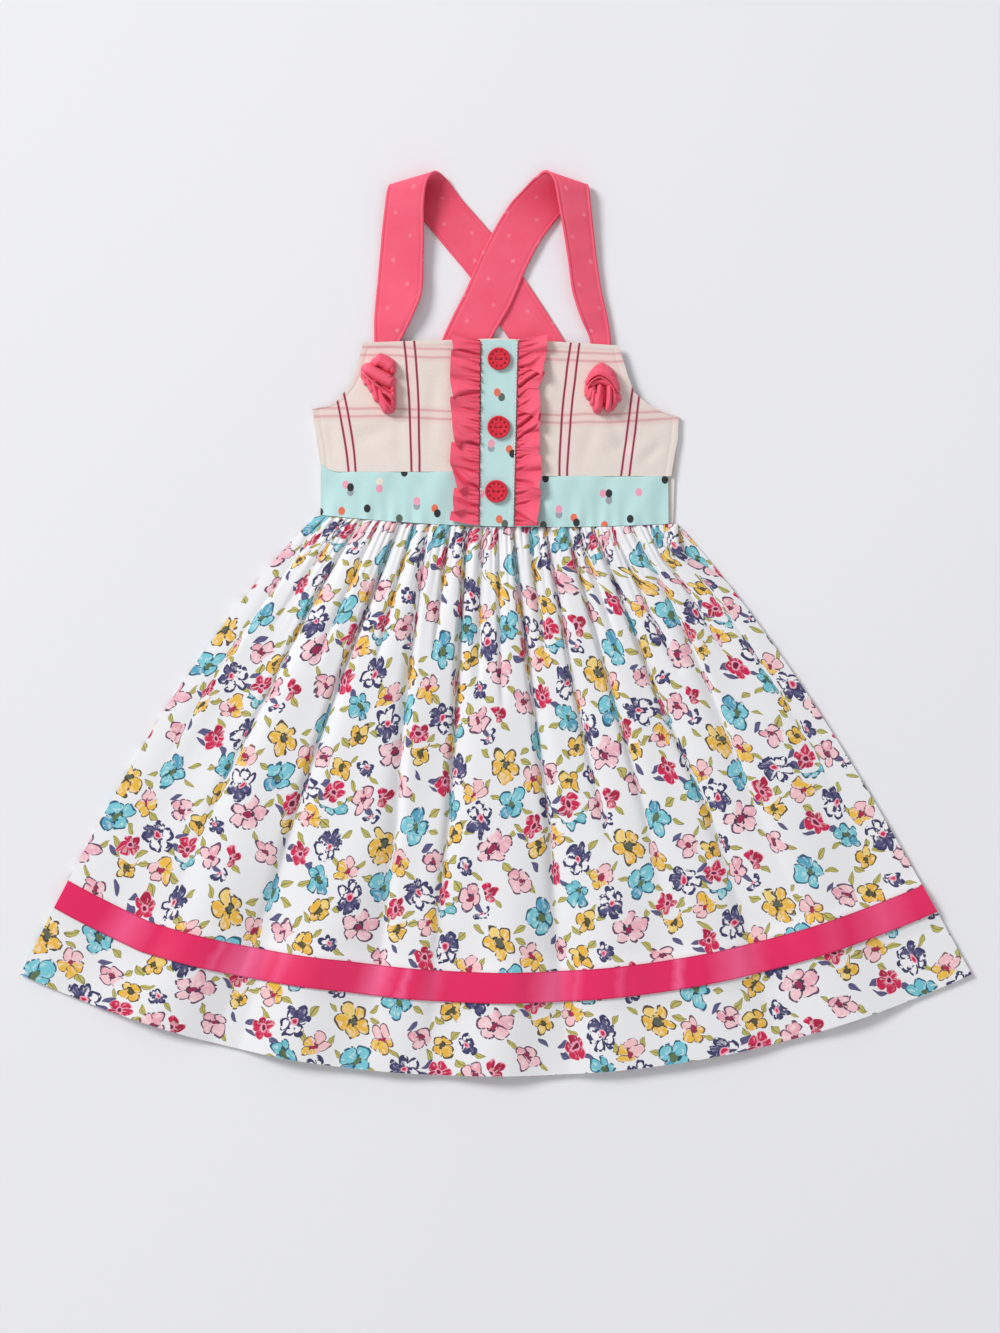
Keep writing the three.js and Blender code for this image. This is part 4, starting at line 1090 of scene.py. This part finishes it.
def button_plastic(name, middle):
    material, tree, shader = surface(name, roughness=0.3)
    place = object_place(tree)
    way = place.vector("MULTIPLY", (1 / MM, 1 / MM, 0)).vector("SUBTRACT", (middle[0], middle[1], 0))
    x, y, _ = way.apart()
    away = way.vector("LENGTH")
    angle = y.math("ARCTAN2", x)
    step = 2 * math.pi / PIT_COUNT
    sideways = ((angle + step / 2) % step - step / 2) * away
    off_ring = away - PIT_RING_MM
    # Painted shade: a darker red painted into the ring of pits
    pit_shade = soft_less(together(tree, sideways, off_ring).vector("LENGTH"), PIT_RADIUS_MM, 0.4)
    red = mixed(noise(place, 300.0), *map(linear, BUTTON_REDS))
    spokes = soft_less(0.55, (angle * PIT_COUNT).math("COSINE"), 0.5)
    ringed = soft_less(abs(off_ring), 1.2, 0.6)
    red = mixed(spokes * ringed * 0.35, red, linear(SPOKE_RED))
    plug(shader.inputs["Base Color"], mixed(pit_shade, red, linear(PIT_PAINTED_SHADE_RED)))
    shader.inputs["Coat Weight"].default_value = 0.3
    return material


for node, middle in BUTTONS.items():
    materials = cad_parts[node].data.materials
    materials.clear()
    materials.append(button_plastic(node + "_red_plastic", middle))

HOLE_APART_MM = 1.7
BUTTON_FACE_MM = 2.1
THREAD_HALF_MM = 0.46
THREAD_PATH = [
    # share of the way between the holes, height
    (-1.0, -1.4), (-1.0, -0.25), (-0.7, 0.25), (0.0, 0.35), (0.7, 0.25), (1.0, -0.25), (1.0, -1.4),
]
THREAD_SIDES = 8


def sewing_thread(name, light, dark):
    material, tree, shader = surface(name, roughness=0.7, sheen=0.2)
    tone = noise(object_place(tree), 900.0, detail=1.0)
    plug(shader.inputs["Base Color"], mixed(tone, linear(light), linear(dark)))
    return material


def sewn_piece(name, points, faces, thread):
    mesh = bpy.data.meshes.new(name)
    mesh.from_pydata((np.array(points) * MM).tolist(), [], faces)
    mesh.shade_smooth()
    mesh.materials.append(thread)
    piece = bpy.data.objects.new(name, mesh)
    bpy.context.scene.collection.objects.link(piece)
    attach(piece, "root")


def ring_faces(rings, sides):
    """Faces along a tube of rings of points, with a face at either end."""
    faces = []
    for first in range(0, (rings - 1) * sides, sides):
        for k in range(sides):
            following = (k + 1) % sides
            faces.append((first + k, first + following, first + sides + following, first + sides + k))
    last = (rings - 1) * sides
    return faces + [tuple(range(sides - 1, -1, -1)), tuple(range(last, last + sides))]


def thread_through(name, middle, thread):
    """One thick loop of thread, up through one hole of a button and down through the other."""
    level = float(front_top(middle[0])) + 2 * LAYER_GAP_MM + CLOTH_MM + BUTTON_FACE_MM
    path = np.array(THREAD_PATH) * (HOLE_APART_MM, 1)
    ahead = np.gradient(path, axis=0)
    ahead /= np.linalg.norm(ahead, axis=1)[:, None]
    points = []
    for (x, z), (ax, az) in zip(path, ahead):
        for turn in np.arange(THREAD_SIDES) * 2 * math.pi / THREAD_SIDES:
            out = THREAD_HALF_MM * math.cos(turn)
            aside = THREAD_HALF_MM * math.sin(turn)
            points.append((middle[0] + x - az * out, middle[1] + aside, level + z + ax * out))
    sewn_piece(name, points, ring_faces(len(path), THREAD_SIDES), thread)


BUTTON_THREAD = sewing_thread("button_sewing_thread", (206, 30, 58), (170, 18, 48))
for node, middle in BUTTONS.items():
    thread_through("Thread_in_" + node, middle, BUTTON_THREAD)

# A row of white machine stitches runs down just inside each edge of the placket, and the crimson thread that
# gathers the ruffles shows as small dashes just outside it
STITCH_HALF_MM = 0.42
STITCH_HEIGHT_MM = 0.26
PLACKET_STITCH_IN_MM = 0.9
PLACKET_STITCHES_FROM_MM = 188.9
RUFFLE_STITCH_OUT_MM = 0.7
RUFFLE_STITCHES_FROM_MM = 188.4
STITCHES_TO_MM = 66.4
STITCH_RINGS = ((0, 0.4, 0.1), (0.2, 1, 1), (0.8, 1, 1), (1, 0.4, 0.1))
STITCH_OUTLINE = ((-1, -0.6), (-0.6, 0.8), (0.6, 0.8), (1, -0.6))


def stitch_row(name, start, end, lift, long_mm, gap_mm, thread):
    """A row of stitches from start to end, lying on the front at lift above its crown."""
    start, end = np.array(start), np.array(end)
    long = np.linalg.norm(end - start)
    along = (end - start) / long
    side = np.array([-along[1], along[0]])
    points, faces = [], []
    for k in range(int(long // (long_mm + gap_mm))):
        first = start + along * k * (long_mm + gap_mm)
        faces += [tuple(corner + len(points) for corner in face)
                  for face in ring_faces(len(STITCH_RINGS), len(STITCH_OUTLINE))]
        for share, width, height in STITCH_RINGS:
            middle = first + along * long_mm * share
            level = float(front_top(middle[0])) + lift
            for across, up in STITCH_OUTLINE:
                x, y = middle + side * STITCH_HALF_MM * width * across
                points.append((x, y, level + STITCH_HEIGHT_MM * height * up))
    sewn_piece(name, points, faces, thread)


WHITE_THREAD = sewing_thread("white_sewing_thread", (250, 240, 242), (230, 226, 230))
CRIMSON_THREAD = sewing_thread("crimson_sewing_thread", (128, 26, 56), (104, 22, 50))
for side, way in (("left", 1), ("right", -1)):
    top_x, low_x = PLACKET_X_MM[side]
    inwards = way * PLACKET_STITCH_IN_MM
    outwards = way * RUFFLE_STITCH_OUT_MM
    stitch_row("Placket_stitches_" + side, (top_x + inwards, PLACKET_STITCHES_FROM_MM),
               (low_x + inwards, STITCHES_TO_MM), lift=LAYER_GAP_MM + CLOTH_MM + 0.2,
               long_mm=2.3, gap_mm=0.15, thread=WHITE_THREAD)
    stitch_row("Ruffle_stitches_" + side, (top_x - outwards, RUFFLE_STITCHES_FROM_MM),
               (low_x - outwards, STITCHES_TO_MM), lift=LAYER_GAP_MM + CLOTH_MM + 1.6,
               long_mm=1.5, gap_mm=2.1, thread=CRIMSON_THREAD)


# The knots
# The end of each strap comes through to the front of the yoke and is tied in a plump knot of coral cotton.
# The left one is seen from its side, as a roll with slanting folds. The right one has its folds fanned out
# below.
KNOT_HEIGHT_MM = 11.5
KNOT_SHARP_DEGREES = 75
KNOT_CREASE_STEPS = 6
KNOT_CREASE_DEPTH = 0.1
KNOT_LEFT = [
    (-91.1, 170.2), (-87.8, 172.2), (-80.4, 176.9), (-76.4, 180.6), (-71.0, 180.9), (-67.0, 177.6),
    (-66.5, 167.5), (-66.7, 156.8), (-68.1, 143.4), (-72.4, 139.6), (-76.4, 141.8), (-81.7, 151.4),
    (-87.8, 162.1),
]
KNOT_RIGHT = [
    (59.0, 156.8), (61.4, 163.5), (65.0, 169.5), (70.0, 173.9), (75.0, 171.5), (79.7, 166.2), (82.0, 157.6),
    (83.9, 150.8), (78.6, 142.6), (73.0, 139.4), (65.0, 140.4), (60.6, 147.4),
]
KNOT_LEFT_ROLLS = [
    # from x, y to x, y, half width, height, sideways bend
    (-77.8, 176.6, -70.8, 172.8, 4.6, 10.0, -0.4), (-81.6, 174.8, -80.2, 173.8, 2.4, 8.0, 0.0),
    (-69.0, 172.0, -68.8, 169.0, 2.2, 9.0, 0.0), (-85.8, 170.2, -70.8, 161.8, 4.5, 11.0, 0.3),
    (-69.0, 163.0, -68.6, 156.4, 2.0, 8.8, 0.0), (-89.3, 168.2, -67.7, 150.6, 1.1, 11.5, 0.9),
    (-88.6, 166.0, -87.2, 161.6, 2.1, 8.2, 0.0), (-86.0, 163.4, -82.9, 156.4, 2.0, 8.8, 0.2),
    (-81.8, 161.0, -79.4, 150.4, 2.4, 9.2, 0.3), (-77.9, 156.4, -77.2, 148.0, 1.7, 8.2, 0.0),
    (-76.0, 151.8, -73.2, 143.0, 2.9, 8.6, 0.4), (-77.0, 154.8, -69.4, 143.8, 1.0, 10.8, 0.8),
    (-75.6, 154.4, -67.6, 147.4, 1.0, 11.0, -0.8), (-73.4, 150.6, -70.8, 147.0, 1.5, 6.0, 0.0),
    (-68.4, 153.6, -68.5, 145.6, 1.9, 8.8, 0.0), (-73.6, 142.8, -69.9, 143.0, 2.4, 7.6, 0.0),
]
KNOT_RIGHT_ROLLS = [
    (66.8, 168.0, 75.6, 167.0, 5.4, 10.4, -1.0), (70.6, 169.6, 70.8, 172.0, 3.0, 8.4, 0.0),
    (76.4, 165.4, 80.2, 157.6, 3.0, 10.0, -0.6), (60.8, 160.4, 69.5, 166.6, 1.0, 11.3, -1.4),
    (69.5, 166.6, 81.0, 155.4, 1.0, 11.3, -1.9), (61.8, 158.6, 69.5, 164.4, 0.9, 11.5, -1.3),
    (69.5, 164.4, 79.2, 155.0, 0.9, 11.5, -1.6), (64.2, 160.0, 74.6, 160.4, 2.1, 9.4, -1.7),
    (63.6, 166.2, 61.6, 161.2, 2.4, 9.6, 0.4), (60.8, 158.0, 60.6, 153.2, 1.7, 8.0, 0.0),
    (64.6, 157.2, 62.4, 152.0, 2.7, 8.6, 0.3), (65.4, 155.0, 64.4, 147.4, 1.9, 8.8, 0.2),
    (69.4, 158.2, 68.6, 150.4, 2.2, 9.8, 0.0), (68.4, 151.8, 67.9, 143.9, 3.5, 9.2, 0.0),
    (75.9, 158.0, 74.9, 143.2, 2.15, 10.2, -0.3), (79.0, 155.6, 79.4, 147.2, 2.1, 8.4, -0.2),
    (81.6, 152.8, 82.2, 150.2, 1.9, 7.6, 0.0), (79.0, 147.4, 77.8, 144.2, 1.8, 7.2, 0.0),
]
knot_cotton = woven("coral_cotton_knot", plain_coral, roughness=0.8, sheen=0.08, relief=0.0002)


def rolled(x, y, rows):
    """The height of the topmost roll of cloth at each place, as a share of the knot's height."""
    height = np.zeros_like(x)
    for ax, ay, bx, by, half, high, bend in rows:
        ex, ey = bx - ax, by - ay
        long = math.hypot(ex, ey)
        share = np.clip(((x - ax) * ex + (y - ay) * ey) / long**2, 0, 1)
        bow = 4 * bend * share * (1 - share)
        mx, my = ax + ex * share + ey / long * bow, ay + ey * share - ex / long * bow
        off = np.hypot(x - mx, y - my) / half
        roll = high / KNOT_HEIGHT_MM * (0.3 + 0.7 * np.sqrt(np.clip(1 - off**2, 0, 1)))
        height = np.maximum(height, np.where(off < 1, roll, 0))
    return height


def knot(name, node, outline, middle, rolls):
    away = np.array(outline) - middle
    angles = np.arctan2(away[:, 1], away[:, 0])
    order = np.argsort(angles)
    turns = np.linspace(0, 2 * math.pi, 201)[:-1]
    reach = np.interp(turns, angles[order], np.hypot(away[:, 0], away[:, 1])[order], period=2 * math.pi)
    # The rolls at the rim make the outline
    out = np.linspace(0.5, 1.08, 120)[:, None] * reach[None, :]
    covered = rolled(middle[0] + out * np.cos(turns), middle[1] + out * np.sin(turns), rolls) > 0
    reach = np.where(covered, out, reach * 0.6).max(0)
    reach = (np.roll(reach, 1) + 2 * reach + np.roll(reach, -1)) / 4
    shares = np.sin(np.linspace(0.02, math.pi / 2, 84))
    turn, share = np.meshgrid(turns, shares)
    x = middle[0] + reach * share * np.cos(turn)
    y = middle[1] + reach * share * np.sin(turn)
    floor = front_top(x) + LAYER_GAP_MM
    height = np.maximum(rolled(x, y, rolls), 0.3)
    height = (np.roll(height, 1, 1) + 2 * height + np.roll(height, -1, 1)) / 4
    height[1:-1] = (height[:-2] + 2 * height[1:-1] + height[2:]) / 4
    z = floor + KNOT_HEIGHT_MM * height * (1 - share**9) ** 0.55
    # The creases between the rolls get painted shade, a deeper, darker pink
    around = height.copy()
    for _ in range(KNOT_CREASE_STEPS):
        around = (np.roll(around, 1, 1) + around + np.roll(around, -1, 1)) / 3
        around[1:-1] = (around[:-2] + around[1:-1] + around[2:]) / 3
    deep = np.clip((around - height) / KNOT_CREASE_DEPTH, 0, 1)
    rings, count = x.shape
    under = np.stack([x[-1], y[-1], floor[-1] - 0.05], -1)
    tip = np.array([[middle[0], middle[1], z[0].mean()]])
    points = np.concatenate([np.stack([x, y, z], -1).reshape(-1, 3), under, tip]) * MM
    here = np.arange(count)
    following = (here + 1) % count
    faces = [((rings + 1) * count, k, following[k]) for k in here]
    for ring in range(rings):
        a, b = ring * count + here, ring * count + following
        faces += np.stack([a, a + count, b + count, b], -1).tolist()
    faces.append(tuple((rings * count + here[::-1]).tolist()))
    mesh = bpy.data.meshes.new(name)
    mesh.from_pydata(points.tolist(), [], faces)
    keep_painted_shade(mesh, np.concatenate([deep.reshape(-1), deep[-1], deep[0, :1]]))
    layer = mesh.uv_layers.new(name="cloth")
    corners = np.array([loop.vertex_index for loop in mesh.loops])
    layer.data.foreach_set("uv", (points[corners, :2] / MM).reshape(-1).astype(np.float32))
    mesh.shade_smooth()
    mesh.set_sharp_from_angle(angle=math.radians(KNOT_SHARP_DEGREES))
    mesh.materials.append(knot_cotton)
    piece = bpy.data.objects.new(name, mesh)
    bpy.context.scene.collection.objects.link(piece)
    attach(piece, "root")
    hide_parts(node)


knot("Knot_left", "knot_left", KNOT_LEFT, (-77.0, 160.0), KNOT_LEFT_ROLLS)
knot("Knot_right", "knot_right", KNOT_RIGHT, (71.2, 156.0), KNOT_RIGHT_ROLLS)


# The front of the skirt
# One gathered panel like the back. Its folds start at the waist seam; the short gathers fade out in the first
# quarter, and the long ones run on as soft valleys towards the hem.
FOLD_RISE_T = (0.0, 0.06, 0.16, 0.35, 0.6, 0.8, 1.0)
FOLD_RISE_MM = (4.1, 7.4, 8.8, 8.2, 6.6, 5.2, 4.0)
FOLDS = [
    # place at the waist, place where it ends, share of the length, depth
    (-0.93, -0.925, 0.7, 0.7), (-0.84, -0.85, 0.25, 0.6), (-0.75, -0.77, 0.9, 0.8),
    (-0.65, -0.66, 0.3, 0.7), (-0.545, -0.565, 1.15, 0.95), (-0.46, -0.45, 0.28, 0.7),
    (-0.375, -0.28, 1.0, 0.85), (-0.27, -0.21, 0.24, 0.65), (-0.165, -0.14, 1.05, 0.95),
    (-0.08, -0.06, 0.3, 0.7), (0.0, 0.04, 0.34, 0.6), (0.09, 0.155, 1.15, 0.95), (0.175, 0.225, 0.24, 0.65),
    (0.265, 0.31, 0.6, 0.8), (0.39, 0.43, 0.7, 0.8), (0.455, 0.51, 0.25, 0.65), (0.53, 0.6, 1.05, 0.9),
    (0.635, 0.68, 0.3, 0.7), (0.75, 0.73, 0.8, 0.8), (0.83, 0.85, 0.3, 0.65), (0.92, 0.93, 0.75, 0.7),
]
FOLD_SETTLES = 0.55
VALLEY_HALF_MM = 2.3
VALLEY_SPREAD_MM = 14.0
SMALL_GATHERS = 52
TUCK_HALF_MM = 1.7
SIDE_FOLD_T = (0.0, 0.02, 0.045, 0.075, 0.095, 0.115, 0.14)
SIDE_FOLD_MM = (0.0, 4.5, 10.0, 13.5, 8.5, 3.0, 0.0)
PRINT_DOWN_MM = 22.0
SKIRT_COLUMNS = 401
SKIRT_ROWS = 120


def skirt_surface():
    """The skirt's upper side, and how much cloth is tucked away at each point."""
    down = np.linspace(0, 1, SKIRT_ROWS) ** 1.15
    across, t = np.meshgrid(np.linspace(-1, 1, SKIRT_COLUMNS), down)
    x, y = skirt_place(across, t)
    half_width = WAIST_HALF_MM + (HEM_HALF_MM - WAIST_HALF_MM) * t
    drop = np.zeros_like(t)
    tucked = np.full_like(t, 0.03)
    for k, (at, end, reach, depth) in enumerate(FOLDS):
        here = at + (end - at) * np.minimum(1, t / FOLD_SETTLES)
        here = here + 0.004 * np.sin(9 * t + 2.1 * k)
        half = (VALLEY_HALF_MM + VALLEY_SPREAD_MM * t**2) / half_width
        # One flank of each fold is steep, and the other runs out softly
        steep = 0.5 if k % 3 else 1.15
        off = (across - here) / half
        off = np.where(off < 0, off / steep, off / (1.65 - steep))
        strength = depth * np.maximum(0, 1 - t / reach) ** 0.5
        drop = np.maximum(drop, strength * np.exp(-(np.abs(off) ** 1.5)))
        tucked += ridge((across - here) * half_width, 1.3 * strength, 0, TUCK_HALF_MM)
    crown = 1 - np.minimum(1, np.abs(across)) ** CROWN_POWER
    rise = np.interp(t, FOLD_RISE_T, FOLD_RISE_MM) * crown
    # Short gathers, packed tight at the waist seam and running out at different lengths
    uneven = 0.5 * np.sin(9.3 * across) + 0.35 * np.sin(23 * across)
    phase = 2 * math.pi * (SMALL_GATHERS * (across + 1) / 2 + uneven)
    fade = 0.035 + 0.022 * (1 + np.sin(31 * across + 1)) + 0.022 * (1 + np.sin(13 * across))
    close = np.exp(-((t / fade) ** 1.3))
    ridged = 1 - 2 * np.abs(np.sin(phase / 2)) ** 0.8
    small = -0.95 * ridged * close * np.minimum(1, t / 0.012 + 0.35) * np.minimum(1, crown * 4 + 0.15)
    tucked += ridge(np.sin(phase / 2), 0.55 * close, 0, 0.3)
    # Soft swells further down
    swells = 1.0 * t * np.sin(17 * across + 2 * t) + 0.6 * t**2 * np.sin(31 * across - 3 * t)
    swells += 0.8 * np.sin(5.2 * t + 4 * across) * np.sin(23 * across + 5 * t)
    billows = np.sin(25.5 * across + 1.2 * np.sin(5 * across) + 0.8 * t)
    billows *= 1.5 * np.clip((t - 0.4) / 0.4, 0, 1)
    # On the right the front folds in below the waist, so that the back shows past its edge
    near_side = np.clip((across - 0.7) / 0.3, 0, 1)
    folded_in = np.interp(t, SIDE_FOLD_T, SIDE_FOLD_MM)
    x = x - folded_in * near_side**1.5
    side_roll = ridge(across, 0.38 * folded_in, 0.975, 0.035)
    floor = SIDE_TOP_MM + lift_over(t)
    z = floor + rise * (1 - drop) + small + (swells + billows) * np.minimum(1, crown * 3) + side_roll
    return t, x, y, np.maximum(z, floor - 0.05), tucked


def place_on_cut(x, t, tucked):
    """Where each point lies on the flat cut panel: most of the fullness is tucked away in the folds."""
    dx = np.diff(x, axis=1)
    tuck = (tucked[:, 1:] + tucked[:, :-1]) * dx
    need = SKIRT_CUT_MM[0] - dx.sum(1)
    step = dx + tuck * (need / tuck.sum(1))[:, None]
    s = np.concatenate([np.zeros((len(x), 1)), np.cumsum(step, axis=1)], axis=1) - SKIRT_CUT_MM[0] / 2
    return s, t * SKIRT_CUT_MM[1] + PRINT_DOWN_MM


def front_skirt():
    t, x, y, z, tucked = skirt_surface()
    top = (x, y, z)
    piece = cloth("Front_skirt_panel", top, below(top, CLOTH_MM), place_on_cut(x, t, tucked), floral,
                  ["front_skirt"])


front_skirt()


# The ribbon on the front of the skirt
# Pink satin, about 21 mm wide, sewn flat round the skirt above the hem along both its edges. It follows the
# skirt's soft folds, and its glossy satin catches the light on them; pale bands painted into its colour add
# painted highlights there.
RIBBON_LIFT_MM = 0.4


def ribbon_front():
    even_rows = np.linspace(RIBBON_FROM, RIBBON_TO, 12)
    across, even = np.meshgrid(np.linspace(-1, 1, SKIRT_COLUMNS), even_rows)
    skirt_t, _, _, skirt_z, _ = skirt_surface()
    x, y = skirt_place(across, even)
    z = np.stack([np.interp(even_rows, skirt_t[:, 0], column) for column in skirt_z.T], axis=1)
    top = (x, y, z + RIBBON_LIFT_MM + RIBBON_CLOTH_MM)
    place = ((across + 1) * RIBBON_HALF_MM, (even - RIBBON_FROM) * SKIRT_CUT_MM[1])
    low = below(top, RIBBON_CLOTH_MM)
    piece = cloth("Ribbon_on_front", top, low, place, satin, ["ribbon_front"])


ribbon_front()
